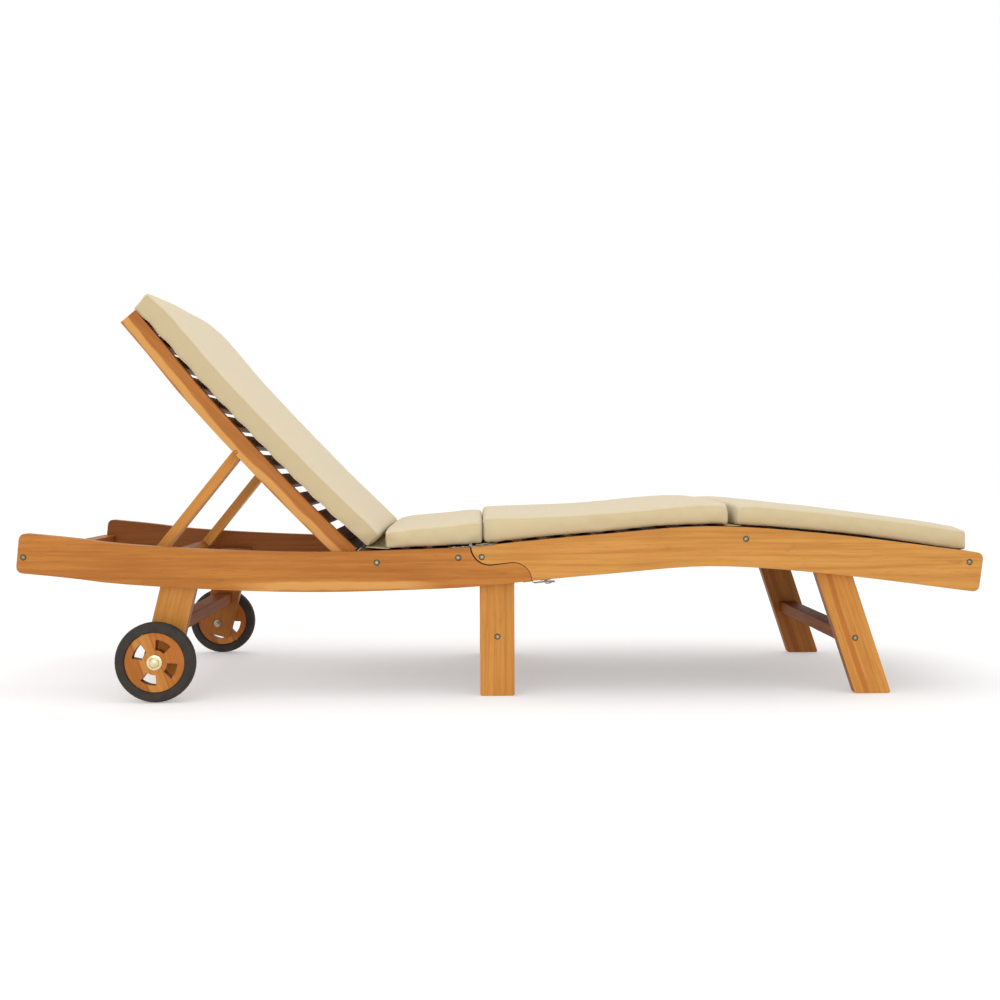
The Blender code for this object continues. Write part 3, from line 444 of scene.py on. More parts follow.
WOODS = (
  # node, grain, tone, edge radius, painted shade on its inner face, band
    ("head_rail", ALONG_X, TAWNY, 0.0026, True, HEAD_RAIL_BAND),
    ("foot_rail", ALONG_X, HONEY, 0.0026, True, None),
    ("rack", ALONG_X, UNDER_DECK_PAINTED_SHADE, 0.0010, False, None),
    ("head_end_rail", ALONG_Y, RUSSET, 0.0016, False, None),
    ("seat_rear_rail", ALONG_Y, UNDER_DECK_PAINTED_SHADE, 0.0016, False, None),
    ("seat_front_rail", ALONG_Y, UNDER_DECK_PAINTED_SHADE, 0.0016, False, None),
    ("seat_slats", ALONG_Y, SLAT_PAINTED_SHADE, 0.0014, False, None),
    ("foot_front_rail", ALONG_Y, UNDER_DECK_PAINTED_SHADE, 0.0016, False, None),
    ("foot_middle_rail", ALONG_Y, UNDER_DECK_PAINTED_SHADE, 0.0016, False, None),
    ("foot_end_rail", ALONG_Y, RUSSET, 0.0016, False, None),
    ("leg_rest_slats", ALONG_Y, SLAT_PAINTED_SHADE, 0.0014, False, None),
    ("foot_end_slats", ALONG_Y, SLAT_PAINTED_SHADE, 0.0014, False, None),
    ("wheel_leg", in_plane(math.pi / 2 - WHEEL_LEG_LEAN), AMBER, 0.0020, True, None),
    ("middle_leg", in_plane(math.pi / 2), AMBER, 0.0022, True, None),
    ("foot_leg", in_plane(math.pi / 2 + FOOT_LEG_LEAN), AMBER, 0.0022, True, FOOT_LEG_BAND),
    ("wheel_stretcher", ALONG_Y, STRETCHER_PAINTED_SHADE, 0.0, False, None),
    ("middle_stretcher", ALONG_Y, STRETCHER_PAINTED_SHADE, 0.0, False, None),
    ("foot_stretcher", ALONG_Y, STRETCHER_PAINTED_SHADE, 0.0, False, None),
    ("back_rail", in_plane(math.pi - BACK_LEAN), RUSSET, 0.0022, True, BACK_RAIL_BAND),
    ("back_lower_rail", ALONG_Y, UNDER_DECK_PAINTED_SHADE, 0.0016, False, None),
    ("back_slats", ALONG_Y, UNDER_DECK_PAINTED_SHADE, 0.0014, False, None),
    ("prop_arm", in_plane(math.pi + PROP_LEAN), AMBER, 0.0018, False, None),
    ("prop_bar", ALONG_Y, RUSSET, 0.0, False, None),
    ("wheel_disc", in_plane(math.radians(-70.0)), PLANK, 0.0010, False, None),
)
WELD_REACH = 1e-5
EASE_STEPS = 3
EASE_ANGLE = math.radians(38.0)


def ease(node, radius):
    """Rounds a CAD node's edges, so that they catch the light."""
    thing = NODES[node]
    if "custom_normal" in thing.data.attributes:
        thing.data.attributes.remove(thing.data.attributes["custom_normal"])
    thing.data.shade_smooth()
    weld = thing.modifiers.new("weld", "WELD")
    weld.merge_threshold = WELD_REACH
    if radius:
        bevel = thing.modifiers.new("eased", "BEVEL")
        bevel.width = radius
        bevel.segments = EASE_STEPS
        bevel.limit_method = "ANGLE"
        bevel.angle_limit = EASE_ANGLE
        bevel.harden_normals = True
    normals = thing.modifiers.new("normals", "WEIGHTED_NORMAL")
    normals.keep_sharp = True


def finish_node(node, material, radius=0.0):
    data = NODES[node].data
    data.materials.clear()
    data.materials.append(material)
    ease(node, radius)


def timber():
    for stem, grain, tone, radius, shaded, band in WOODS:
        planks = stem == "wheel_disc"
        # the legs and the wheel's disc get painted shade on their narrow faces
        edges = stem.endswith(("_leg", "_disc"))
        shine = DULL_SHINE if stem.endswith("stretcher") else SHINE
        for node, inner in ((stem, 0), (stem + "_right", 1), (stem + "_left", -1)):
            if node in NODES:
                skin = wood(node, grain, tone, inner if shaded else 0, band, planks, edges, shine)
                finish_node(node, skin, radius)


# ---- cloth, rubber and metal -------------------------------------------------------------------
# painted shade on the cushions' sides, which face away from the light above
SEAT_SIDE_SHADE = rgb(205, 187, 146)
FOOT_SIDE_SHADE = rgb(203, 185, 144)
BACK_SIDE_SHADE = rgb(190, 171, 131)
WEAVE = {"Scale": 310.0, "Distortion": 0.8, "Detail": 1.0, "Detail Scale": 0.3}
WEAVE_TURNS = (("X", (0.0, 0.0, 0.0)), ("Y", (0.0, 0.0, math.pi / 2)), ("Z", (0.0, math.pi / 2, 0.0)))
SIDE_LEVELS = (0.62, 0.94)  # how squarely a side or an end faces out
END_LEVELS = (0.80, 0.92)
SIDE_SHADE_SHARE = 0.80
THREAD_TONES = (rgb(204, 188, 158), rgb(219, 205, 177))
SLUB_TONE = rgb(204, 188, 156)
CLOUD_TONE = rgb(213, 199, 170)
SLUB_SCALE = (900.0, 60.0, 900.0)
SOFT_SCALE = (26.0, 15.0, 26.0)
STITCH_GAP = 0.0045  # from the seam to the line of stitches
STITCH_HALF = 0.0016
STITCH_SHARE = 0.26
STITCH_TONE = rgb(176, 156, 114)
WEAVE_BUMP = (0.30, 0.00025)  # strength and distance
SOFT_BUMP = (0.16, 0.004)
STITCH_BUMP = (-0.4, 0.0006)
TAPE_RIBS = {"Scale": 260.0, "Distortion": 0.5}
TAPE_TONES = (rgb(176, 158, 112), rgb(216, 202, 164))
RUBBER_TONES = (rgb(40, 35, 31), rgb(64, 54, 45))
SCRATCH_SCALE = (1500.0, 90.0, 1500.0)


def cloth(name, side_shade):
    """Plain-woven outdoor cloth, the weave laid on whichever way the surface faces."""
    paint = Paint("cushion_cloth_" + name)
    spot = paint.spot()
    facing = paint.out("VectorMath", {0: paint.facing()}, operation="ABSOLUTE")
    threads = {}
    for axis, turn in WEAVE_TURNS:
        threads[axis] = paint.out("TexWave", {"Vector": paint.place(spot, turn), **WEAVE}, socket=1,
                                  wave_type="BANDS", bands_direction="X", wave_profile="SIN")

    def weave(first, second):
        return paint.math("MAXIMUM", threads[first], threads[second])

    def blend(low, high, share):
        return paint.math("ADD", paint.math("MULTIPLY", low, paint.math("SUBTRACT", 1.0, share)),
                          paint.math("MULTIPLY", high, share))

    is_side = paint.span(paint.part(facing, 1), *SIDE_LEVELS)
    is_end = paint.span(paint.part(facing, 0), *END_LEVELS)
    woven = blend(blend(weave("X", "Y"), weave("X", "Z"), is_side), weave("Y", "Z"), is_end)
    slub = paint.noise(paint.place(spot, scale=SLUB_SCALE), 1.0, 2.0)
    cloud = paint.noise(spot, 5.0, 3.0, 0.55)
    colour = paint.mix(paint.span(woven, 0.2, 1.0), *THREAD_TONES)
    colour = paint.mix(paint.span(slub, 0.45, 0.75, 0.0, 0.30), colour, SLUB_TONE)
    colour = paint.mix(paint.span(cloud, 0.40, 0.66, 0.0, 0.30), colour, CLOUD_TONE)
    # painted shade on the sides
    colour = paint.mix(paint.math("MULTIPLY", is_side, SIDE_SHADE_SHARE), colour, side_shade)
    lines = []
    for key in ("to_top", "to_low"):
        gap = paint.out("Attribute", socket=2, attribute_name=key)
        off = paint.math("ABSOLUTE", paint.math("SUBTRACT", gap, STITCH_GAP))
        lines.append(paint.math("MULTIPLY", paint.span(off, 0.0, STITCH_HALF, 1.0, 0.0), is_side))
    line = paint.math("MAXIMUM", *lines)
    colour = paint.mix(paint.math("MULTIPLY", line, STITCH_SHARE), colour, STITCH_TONE)
    soft = paint.noise(paint.place(spot, scale=SOFT_SCALE), 1.0, 3.0, 0.5)
    normal = paint.bump(woven, *WEAVE_BUMP)
    normal = paint.bump(soft, *SOFT_BUMP, normal)
    normal = paint.bump(line, *STITCH_BUMP, normal)
    return paint.finish(colour, paint.span(slub, 0.3, 0.7, 0.82, 0.94), normal,
                        Specular_IOR_Level=0.15, Sheen_Weight=0.10, Sheen_Roughness=0.5)


def tape():
    """Ribbed cloth for the webs that join the cushions."""
    paint = Paint("cushion_tape")
    rib = paint.out("TexWave", {"Vector": paint.spot(), **TAPE_RIBS}, socket=1,
                    wave_type="BANDS", bands_direction="DIAGONAL")
    colour = paint.mix(rib, *TAPE_TONES)
    return paint.finish(colour, 0.9, paint.bump(rib, 0.5, 0.0003), Specular_IOR_Level=0.15)


def rubber():
    paint = Paint("tyre_rubber")
    spot = paint.spot()
    dust = paint.noise(spot, 38.0, 4.0, 0.6)
    grit = paint.noise(spot, 700.0, 2.0, 0.5)
    colour = paint.mix(paint.span(dust, 0.42, 0.72), *RUBBER_TONES)
    rough = paint.span(dust, 0.3, 0.7, 0.62, 0.85)
    return paint.finish(colour, rough, paint.bump(grit, 0.25, 0.0004), Specular_IOR_Level=0.4)


def grime(name, dark, pale):
    """Painted shade in a recess, with a faint mottle."""
    paint = Paint(name)
    colour = paint.mix(paint.noise(paint.spot(), 400.0, 2.0), dark, pale)
    return paint.finish(colour, 0.7, Specular_IOR_Level=0.2)


def plated(name, bright, dull, rough=(0.22, 0.42)):
    """Plated steel with cloudy patches and fine scratches."""
    paint = Paint(name)
    spot = paint.spot()
    cloud = paint.noise(spot, 160.0, 3.0, 0.6)
    scratch = paint.noise(paint.place(spot, scale=SCRATCH_SCALE), 1.0, 2.0)
    colour = paint.mix(paint.span(cloud, 0.35, 0.68), bright, dull)
    level = paint.math("ADD", paint.span(cloud, 0.3, 0.7, *rough), paint.span(scratch, 0.5, 0.8, 0.0, 0.12))
    return paint.finish(colour, level, paint.bump(scratch, 0.08, 0.0002), Metallic=1.0)


# ---- small helpers -----------------------------------------------------------------------------
ON_AXIS = 1e-7
SHARP_ANGLE = 32.0
SCREW_SHARP_ANGLE = 40.0


def link(name, data):
    made = bpy.data.objects.new(name, data)
    bpy.context.scene.collection.objects.link(made)
    return made


def piece(name, mesh, body, material, sharp=SHARP_ANGLE):
    mesh.shade_smooth()
    mesh.set_sharp_from_angle(angle=math.radians(sharp))
    made = link(name, mesh)
    mesh.materials.append(material)
    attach(made, body)
    return made


def finished_mesh(name, work):
    mesh = bpy.data.meshes.new(name)
    work.to_mesh(mesh)
    work.free()
    return mesh


def lathe(profile, steps, hexagon=()):
    """Closed turned mesh about +Z; profile holds (radius, height), from the axis and back to it.

    Where the profile's index is in hexagon, the ring follows a hexagon of that radius across flats.
    """
    work = bmesh.new()
    rings = []
    for index, (radius, height) in enumerate(profile):
        if radius < ON_AXIS:
            rings.append([work.verts.new((0.0, 0.0, height))])
            continue
        ring = []
        for step in range(steps):
            turn = 2 * math.pi * step / steps
            reach = radius
            if index in hexagon:
                reach = radius / math.cos((turn % (math.pi / 3)) - math.pi / 6)
            ring.append(work.verts.new((reach * math.cos(turn), reach * math.sin(turn), height)))
        rings.append(ring)
    for low, high in zip(rings, rings[1:]):
        for step in range(steps):
            after = (step + 1) % steps
            if len(low) == 1:
                work.faces.new((low[0], high[after], high[step]))
            elif len(high) == 1:
                work.faces.new((low[step], low[after], high[0]))
            else:
                work.faces.new((low[step], low[after], high[after], high[step]))
    bmesh.ops.recalc_face_normals(work, faces=work.faces)
    return finished_mesh("turned", work)


def aim(mesh, place, axis, spin=0.0):
    """Turns a mesh made about +Z to stand at a place along an axis."""
    turn = Vector(axis).to_track_quat("Z", "Y").to_matrix().to_4x4()
    mesh.transform(Matrix.Translation(place) @ turn @ Matrix.Rotation(spin, 4, "Z"))
    return mesh


def node_tree(node, turn=Matrix.Identity(4)):
    data = NODES[node].data
    points = [turn @ vertex.co for vertex in data.vertices]
    return BVHTree.FromPolygons(points, [tuple(face.vertices) for face in data.polygons])


# ---- cushions ----------------------------------------------------------------------------------
CELL = 0.009
LAYERS = 5
FIT_DEGREE = 6
FIT_POINTS = 60
FIT_INSET = 0.013  # heights are read no nearer than this to a cushion's ends
FAR = 5.0
SIDE_INSET = 0.0015
SIDE_WAIST = 0.0045  # how far a long side is drawn in at its middle
WAIST_POWER = 0.8
END_BULGE = 0.002
DOME_POWER = 0.5
UNDER_AIR = 0.001
PINCH_REACH = 0.028  # a corner is drawn in within this distance
PINCH_ALONG = 0.0025
PINCH_ACROSS = 0.006
PINCH_DOWN = 0.002
END_ROUND = 0.0015
END_ROUND_REACH = 0.008
THIN_POWER = 3
HEAD_DROOP_POWER = 2
FOOT_DROOP_POWER = 6
CUSHIONS = (
  # node, body, lift and crown of its middle, thinning of the head end and the foot end, drawing
    # back of those ends, droop of the underside at those ends, painted shade of its sides
    ("seat_cushion", "head_frame", (0.006, 0.008), (0.006, -0.007), (0.0015, -0.0010), (0.0, 0.0),
     SEAT_SIDE_SHADE),
    ("knee_cushion", "foot_frame", (-0.0035, 0.0035), (-0.0185, -0.0075), (-0.0010, 0.0020), (0.0, 0.0),
     SEAT_SIDE_SHADE),
    ("foot_cushion", "foot_frame", (-0.001, 0.0035), (-0.004, 0.000), (0.0020, -0.0030), (0.0, 0.0060),
     FOOT_SIDE_SHADE),
    ("back_cushion", "backrest", (0.0015, 0.0060), (-0.002, 0.001), (-0.0125, 0.0010), (0.0030, 0.0),
     BACK_SIDE_SHADE),
)
FOLD_KEEP = {"seat_cushion": 0.18, "knee_cushion": 0.34}  # cushions given a mesh of their own; the numbers are not read
SIM_FRAMES = 20
PUFF_CAP = 0.0045
FILLING = {
    "quality": 4,
    "mass": 0.25,
    "tension_stiffness": 18.0,
    "compression_stiffness": 18.0,
    "shear_stiffness": 6.0,
    "bending_stiffness": 0.6,
    "use_pressure": True,
    "uniform_pressure_force": 4.0,
    "vertex_group_mass": "held",
    "shrink_min": -0.012,
}
RIPPLES = {"pitch": 70.0, "deep": 0.0011, "calm": 0.25, "corner": 2.0, "corner_reach": 0.050,
           "seam_reach": 0.016}
PUCKERS = {"pitch": 34.0, "deep": 0.0058, "corner_reach": 0.040, "seam_reach": 0.026}
SEAMS = (("to_top", 0.0), ("to_low", 4.0))  # attribute, phase of its noise
BROAD = {"pitch": 8.0, "deep": 0.0012, "phase": 7.0}
BACK_SLAT_FIRST = 0.0494
BACK_SLAT_PITCH = 0.0545
SAG = 0.0016  # of the back cushion's underside between its slats
SAG_REACH = 0.010


class Surface:
    """Heights of a CAD cushion's top and underside, in the frame where its deck lies flat."""

    def __init__(self, node, turn):
        points = [turn @ vertex.co for vertex in NODES[node].data.vertices]
        self.tree = node_tree(node, turn)
        xs = [point.x for point in points]
        self.start = min(xs)
        self.stop = max(xs)
        self.half = max(point.y for point in points)

    def hit(self, x, down):
        x = min(max(x, self.start + FIT_INSET), self.stop - FIT_INSET)
        height, way = (FAR, -1.0) if down else (-FAR, 1.0)
        return self.tree.ray_cast(Vector((x, 0.0, height)), Vector((0.0, 0.0, way)))[0].z

    def smooth(self, down):
        xs = np.linspace(self.start, self.stop, FIT_POINTS)
        heights = np.array([self.hit(x, down) for x in xs])
        return np.poly1d(np.polyfit(xs, heights, FIT_DEGREE))


def cushion_cage(counts):
    """The surface of a box grid: (a, b, c) from 0 to 1 at each vertex, and quads."""
    index = {}
    spots = []
    quads = []

    def vertex(key):
        if key not in index:
            index[key] = len(spots)
            spots.append(tuple(step / most for step, most in zip(key, counts)))
        return index[key]

    # the axes of each pair of faces (its own last), and the side that is turned over
    for first, second, across, turned in ((0, 1, 2, 0), (0, 2, 1, 1), (1, 2, 0, 0)):
        for i in range(counts[first]):
            for j in range(counts[second]):
                for side in (0, 1):
                    quad = []
                    for di, dj in ((0, 0), (1, 0), (1, 1), (0, 1)):
                        key = [0, 0, 0]
                        key[first] = i + di
                        key[second] = j + dj
                        key[across] = side * counts[across]
                        quad.append(vertex(tuple(key)))
                    quads.append(quad[::-1] if side == turned else quad)
    return np.array(spots), quads


def flat_turn(body):
    if body != "backrest":
        return Matrix.Identity(4)
    shift = Matrix.Translation(BACK_PIN)
    return shift @ Matrix.Rotation(-BACK_LEAN, 4, "Y") @ shift.inverted()


def start_cushion(node, body, rise, thin, back, droop, _):
    """The cushion before it is filled: a box cushion with a crown, its sides pulled in between corners."""
    turn = flat_turn(body)
    surface = Surface(node, turn)
    top, under = surface.smooth(True), surface.smooth(False)
    length = surface.stop - surface.start - back[0] - back[1]
    half = surface.half - SIDE_INSET
    spots, quads = cushion_cage((round(length / CELL), round(2 * half / CELL), LAYERS))
    a, b, c = spots.T
    to_end = np.minimum(a, 1 - a) * length
    to_side = np.minimum(b, 1 - b) * 2 * half
    corner = np.hypot(to_end, to_side)
    pinch = np.exp(-corner / PINCH_REACH)
    x = surface.start + back[0] + a * length
    x = x + PINCH_ALONG * pinch * (1 - 2 * a)
    y = (2 * b - 1) * (half - SIDE_WAIST * np.sin(math.pi * a) ** WAIST_POWER)
    y = y * (1.0 - PINCH_ACROSS * pinch / half)
    x = x + END_BULGE * np.sin(math.pi * b) * (1 - 2 * a)
    dome = np.sin(math.pi * b) ** DOME_POWER
    low = under(x) + UNDER_AIR - droop[0] * (1 - a) ** HEAD_DROOP_POWER - droop[1] * a ** FOOT_DROOP_POWER
    lift, crown = rise
    rounding = END_ROUND * np.exp(-to_end / END_ROUND_REACH)
    high = top(x) + lift - crown * (1.0 - dome) - PINCH_DOWN * pinch - rounding
    high -= thin[0] * (1 - a) ** THIN_POWER + thin[1] * a ** THIN_POWER
    z = low + c * (high - low)
    mesh = bpy.data.meshes.new(node)
    mesh.from_pydata([tuple(p) for p in np.column_stack([x, y, z])], [], quads)
    # distances to the two seams round the top and the underside, kept through subdivision
    edge = np.minimum(to_end, to_side)
    thick = high - low
    to_top = np.where(c > 0.999, edge, (1 - c) * thick)
    to_low = np.where(c < 0.001, edge, c * thick)
    for key, distances in (("to_top", to_top), ("to_low", to_low), ("corner", corner)):
        layer = mesh.attributes.new(key, "FLOAT", "POINT")
        layer.data.foreach_set("value", distances.astype(np.float32))
    mesh.transform(turn.inverted())
    made = link(node + "_cover", mesh)
    held = made.vertex_groups.new(name="held")
    held.add([int(i) for i in np.flatnonzero((c < 0.001) | (to_top < 1e-6))], 1.0, "REPLACE")
    return made


def read(layer, key, width, count):
    flat = np.empty(count * width, np.float32)
    layer.foreach_get(key, flat)
    return flat.reshape(-1, width) if width > 1 else flat


def coordinates(mesh):
    return read(mesh.vertices, "co", 3, len(mesh.vertices)).astype(np.float64)


def move(mesh, points):
    mesh.vertices.foreach_set("co", points.astype(np.float32).ravel())


def evaluated(thing):
    graph = bpy.context.evaluated_depsgraph_get()
    return bpy.data.meshes.new_from_object(thing.evaluated_get(graph), preserve_all_data_layers=True,
                                           depsgraph=graph)


def fill(covers):
    """Blows the covers up gently as cloth, all in one run, and caps how far a point may go."""
    scene = bpy.context.scene
    before = {cover: coordinates(cover.data) for cover in covers}
    for cover in covers:
        sim = cover.modifiers.new("filling", "CLOTH")
        for key, value in FILLING.items():
            setattr(sim.settings, key, value)
        sim.settings.effector_weights.gravity = 0.0
        sim.point_cache.frame_start = 1
        sim.point_cache.frame_end = SIM_FRAMES
    for step in range(1, SIM_FRAMES + 1):
        scene.frame_set(step)
    for cover in covers:
        travel = coordinates(evaluated(cover)) - before[cover]
        reach = np.linalg.norm(travel, axis=1)
        capped = PUFF_CAP * np.tanh(reach / PUFF_CAP)
        travel *= (capped / np.maximum(reach, 1e-9))[:, None]
        cover.modifiers.clear()
        move(cover.data, before[cover] + travel)
    scene.frame_set(1)


def subdivide(cover):
    smooth = cover.modifiers.new("smooth", "SUBSURF")
    smooth.levels = smooth.render_levels = 1
    mesh = evaluated(cover)
    cover.modifiers.clear()
    old = cover.data
    cover.data = mesh
    bpy.data.meshes.remove(old)


def sew(cover, node):
    """Draws the cloth in beside the two seams and puckers it there, most of all at the corners."""
    mesh = cover.data
    total = len(mesh.vertices)
    points = coordinates(mesh)
    normals = read(mesh.vertices, "normal", 3, total)
    corner = read(mesh.attributes["corner"].data, "value", 1, total)

    def rumple(pitch, lift, flat=False):
        high = 0.0 if flat else pitch
        spots = points * (pitch, pitch, high) + (0.0, 0.0, lift)
        return np.array([noise.noise(Vector(spot)) for spot in spots])

    push = np.zeros(total)
    for key, phase in SEAMS:
        gap = read(mesh.attributes[key].data, "value", 1, total)
        size = RIPPLES["calm"] + RIPPLES["corner"] * np.exp(-corner / RIPPLES["corner_reach"])
        near = np.exp(-gap / RIPPLES["seam_reach"])
        push += RIPPLES["deep"] * rumple(RIPPLES["pitch"], phase, flat=True) * size * near
        near = np.exp(-corner / PUCKERS["corner_reach"]) * np.exp(-gap / PUCKERS["seam_reach"])
        push += PUCKERS["deep"] * rumple(PUCKERS["pitch"], phase) * near
    push += BROAD["deep"] * rumple(BROAD["pitch"], BROAD["phase"])
    if node == "back_cushion":
        along = (BACK_PIN.x - points[:, 0]) / math.cos(BACK_LEAN)
        wave = np.cos(2 * math.pi * (along - BACK_SLAT_FIRST) / BACK_SLAT_PITCH)
        gap = read(mesh.attributes["to_low"].data, "value", 1, total)
        push -= SAG * wave * np.exp(-gap / SAG_REACH)
    move(mesh, points + normals * push[:, None])
    mesh.update()


def squash(cover):
    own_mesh(cover)


def cushions():
    covers = [start_cushion(*row) for row in CUSHIONS]
    fill(covers)
    for cover, (node, body, *_, side_shade) in zip(covers, CUSHIONS):
        subdivide(cover)
        sew(cover, node)
        cover.data.materials.clear()
        cover.data.materials.append(cloth(body, side_shade))
        cover.data.shade_smooth()
        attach(cover, body)
        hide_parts(node)
        if node in FOLD_KEEP:
            squash(cover)


# ---- hardware ----------------------------------------------------------------------------------
SUNK = -0.002  # how deep a head's back lies in the wood
BARREL_RADIUS = 0.0052
BARREL_PROUD = 0.0015
BARREL_RIM = 1.22  # shares of the head's radius
BARREL_SHAPE = ((1.0, 0.6), (0.88, 1.0), (0.60, 1.0))
SOCKET_MOUTH = 0.50
SOCKET = 0.48
# the socket is bright zinc, a painted highlight; the ring round it is a darker zinc; the rim is painted
# shade of the counterbore
SOCKET_METAL = 0.52  # faces further out have the second metal, and past
RIM_METAL = 1.01  # this the third
SPIN_PER_METRE = 9.0
SCREW_RADIUS = 0.0034
SCREW_HIGH = 0.0011
SCREW_SHAPE = ((0.82, 0.82), (0.45, 1.0), (0.34, 0.7), (0.15, 0.2), (0.0, 0.15))
RAIL_BOLTS = (
  # name, x, z, body
    ("head_end", -0.9845, 0.2967, "head_frame"),
    ("seat_rear", -0.2607, 0.2824, "head_frame"),
    ("seat_front", -0.0928, 0.2917, "head_frame"),
    ("foot_front", -0.0445, 0.2929, "foot_frame"),
    ("foot_middle", 0.5033, 0.3280, "foot_frame"),
    ("foot_end", 0.9701, 0.2777, "foot_frame"),
)
LEG_BOLTS = (("middle", -0.0123, 0.1243, "head_frame"), ("foot", 0.7394, 0.1171, "foot_frame"))


def barrel_head(name, place, outward, body, metals):
    """Head of a furniture bolt, with a hexagon socket painted bright as a highlight, in a rim of painted
    shade for its counterbore.
    """
    radius = BARREL_RADIUS
    rim = radius * BARREL_RIM
    profile = [(0.0, SUNK), (rim, SUNK), (rim, 0.00015), (radius, 0.0002)]
    profile += [(radius * wide, BARREL_PROUD * high) for wide, high in BARREL_SHAPE]
    profile += [(radius * SOCKET_MOUTH, BARREL_PROUD - 0.0003), (radius * SOCKET, 0.0002), (0.0, 0.0002)]
    mesh = lathe(profile, 24, hexagon=(7, 8))
    reaches = [math.hypot(face.center.x, face.center.y) for face in mesh.polygons]
    aim(mesh, place, outward, spin=place[0] * SPIN_PER_METRE)
    piece(name, mesh, body, metals[0])
    mesh.materials.append(metals[1])
    mesh.materials.append(metals[2])
    for face, reach in zip(mesh.polygons, reaches):
        face.material_index = int(reach > radius * SOCKET_METAL) + int(reach > radius * RIM_METAL)


def dome_head(name, place, outward, body, metal):
    """A small pan-head screw with a shallow recess."""
    radius = SCREW_RADIUS
    profile = [(0.0, SUNK), (radius * 0.6, SUNK), (radius, -0.0003), (radius, SCREW_HIGH * 0.35)]
    profile += [(radius * wide, SCREW_HIGH * high) for wide, high in SCREW_SHAPE]
    mesh = aim(lathe(profile, 18), place, outward)
    piece(name, mesh, body, metal, SCREW_SHARP_ANGLE)


def bolts(metals):
    for side, sign in SIDES:
        for prefix, face, rows in (("bolt_", RAIL_FACE, RAIL_BOLTS), ("bolt_leg_", LEG_FACE, LEG_BOLTS)):
            for name, x, z, body in rows:
                place = (x, sign * face, z)
                barrel_head(prefix + name + "_" + side, place, (0.0, sign, 0.0), body, metals)


NUT_ACROSS = 0.0066
NUT = [(0.0, 0.0), (NUT_ACROSS, 0.0), (NUT_ACROSS, 0.0062), (NUT_ACROSS * 0.86, 0.0072), (0.0051, 0.0072),
       (0.0049, 0.0080), (0.0049, 0.0115), (0.0040, 0.0124), (0.0, 0.0124)]
WASHER = [(0.0, 0.0), (0.0090, 0.0), (0.0090, 0.0012), (0.0084, 0.0016), (0.0, 0.0016)]
NUT_SEAT = 0.0017  # from the washer's foot to the nut's
WASHER_AIR = 0.0003
SPACER_AIR = 0.0004
SPACER_BORE = 0.0054
SPACER_FACE = 0.0105
SPACER_RADIUS = 0.0110
SPACER_EDGE = 0.0006
DISC_REACH = 0.0103  # from the wheel's middle to the spacer's outer end
PLUG = [(0.0, 0.0), (0.0036, 0.0), (0.0036, 0.0030), (0.0030, 0.0036), (0.0, 0.0037)]
PLUG_SUNK = 0.0032


def axles(zinc):
    """Each axle's nut and washer on the leg's inner face, and the spacer between leg and wheel."""
    start = LEG_FACE + SPACER_AIR
    long = abs(WHEEL_PIN.y) - DISC_REACH - start
    spacer = [(SPACER_BORE, 0.0), (SPACER_FACE, 0.0), (SPACER_RADIUS, SPACER_EDGE),
              (SPACER_RADIUS, long - SPACER_EDGE), (SPACER_FACE, long), (SPACER_BORE, long),
              (SPACER_BORE, 0.0)]
    for side, sign in SIDES:
        foot = sign * (LEG_INNER - WASHER_AIR)
        rows = (
            # name, profile, steps, rings that are hexagons, place along Y, the way it looks
            ("axle_nut_washer_", WASHER, 36, (), foot, -sign),
            ("axle_nut_", NUT, 36, (1, 2), foot - sign * NUT_SEAT, -sign),
            ("axle_spacer_", spacer, 32, (), sign * start, sign),
        )
        for name, profile, steps, hexagon, y, way in rows:
            mesh = aim(lathe(profile, steps, hexagon), (WHEEL_PIN.x, y, WHEEL_PIN.z), (0.0, way, 0.0))
            piece(name + side, mesh, "head_frame", zinc)


def plugs():
    """Dowels over the prop's pivots, in the outer faces of the back's rails."""
    for side, sign in SIDES:
        place = (PROP_PIN.x, sign * (BACK_RAIL_FACE - PLUG_SUNK), PROP_PIN.z)
        mesh = aim(lathe(PLUG, 24), place, (0.0, sign, 0.0))
        skin = wood("plug_" + side, ACROSS_BOARD, TAWNY)
        piece("prop_plug_" + side, mesh, "backrest", skin)


# ---- webs between the cushions -----------------------------------------------------------------
WEB_HALF = 0.279
WEB_THICK = 0.0011
WEB_AIR = 0.0004
WEB_REACH = 0.012  # how far a web reaches under a cushion
BACK_WEB_REACH = 0.006
WEB_CELLS = (8, 90)
WEB_SAG = 0.0008
WEB_RUMPLE = 0.0006
RUMPLE_PITCH = (2.0, 40.0, 10.0)
WEBS = (
  # name, cushions, their bodies, what it lies on
    ("web_seat_knee", "seat_cushion", "knee_cushion", "head_frame", "foot_frame",
     ["seat_front_rail", "foot_front_rail"]),
    ("web_knee_foot", "knee_cushion", "foot_cushion", "foot_frame", "foot_frame",
     ["foot_middle_rail"]),
)


def webs():
    """The sewn webs that join the cushions' undersides, and lie on the deck across each joint."""
    still = Matrix.Identity(4)
    for name, first, second, body, other, deck in WEBS:
        head, foot = Surface(first, still), Surface(second, still)
        start, stop = head.stop - WEB_REACH, foot.start + WEB_REACH
        ends = ((start, head.hit(start, False)), (stop, foot.hit(stop, False)))
        strip(name, ends, body, other)
    # the back's web runs from under the back cushion's lower end to under the seat cushion
    turn = flat_turn("backrest")
    back, seat = Surface("back_cushion", turn), Surface("seat_cushion", still)
    start = back.stop - BACK_WEB_REACH
    low = turn.inverted() @ Vector((start, 0.0, back.hit(start, False)))
    stop = seat.start + WEB_REACH
    ends = ((low.x, low.z), (stop, seat.hit(stop, False)))
    strip("web_back_seat", ends, "backrest", "head_frame")


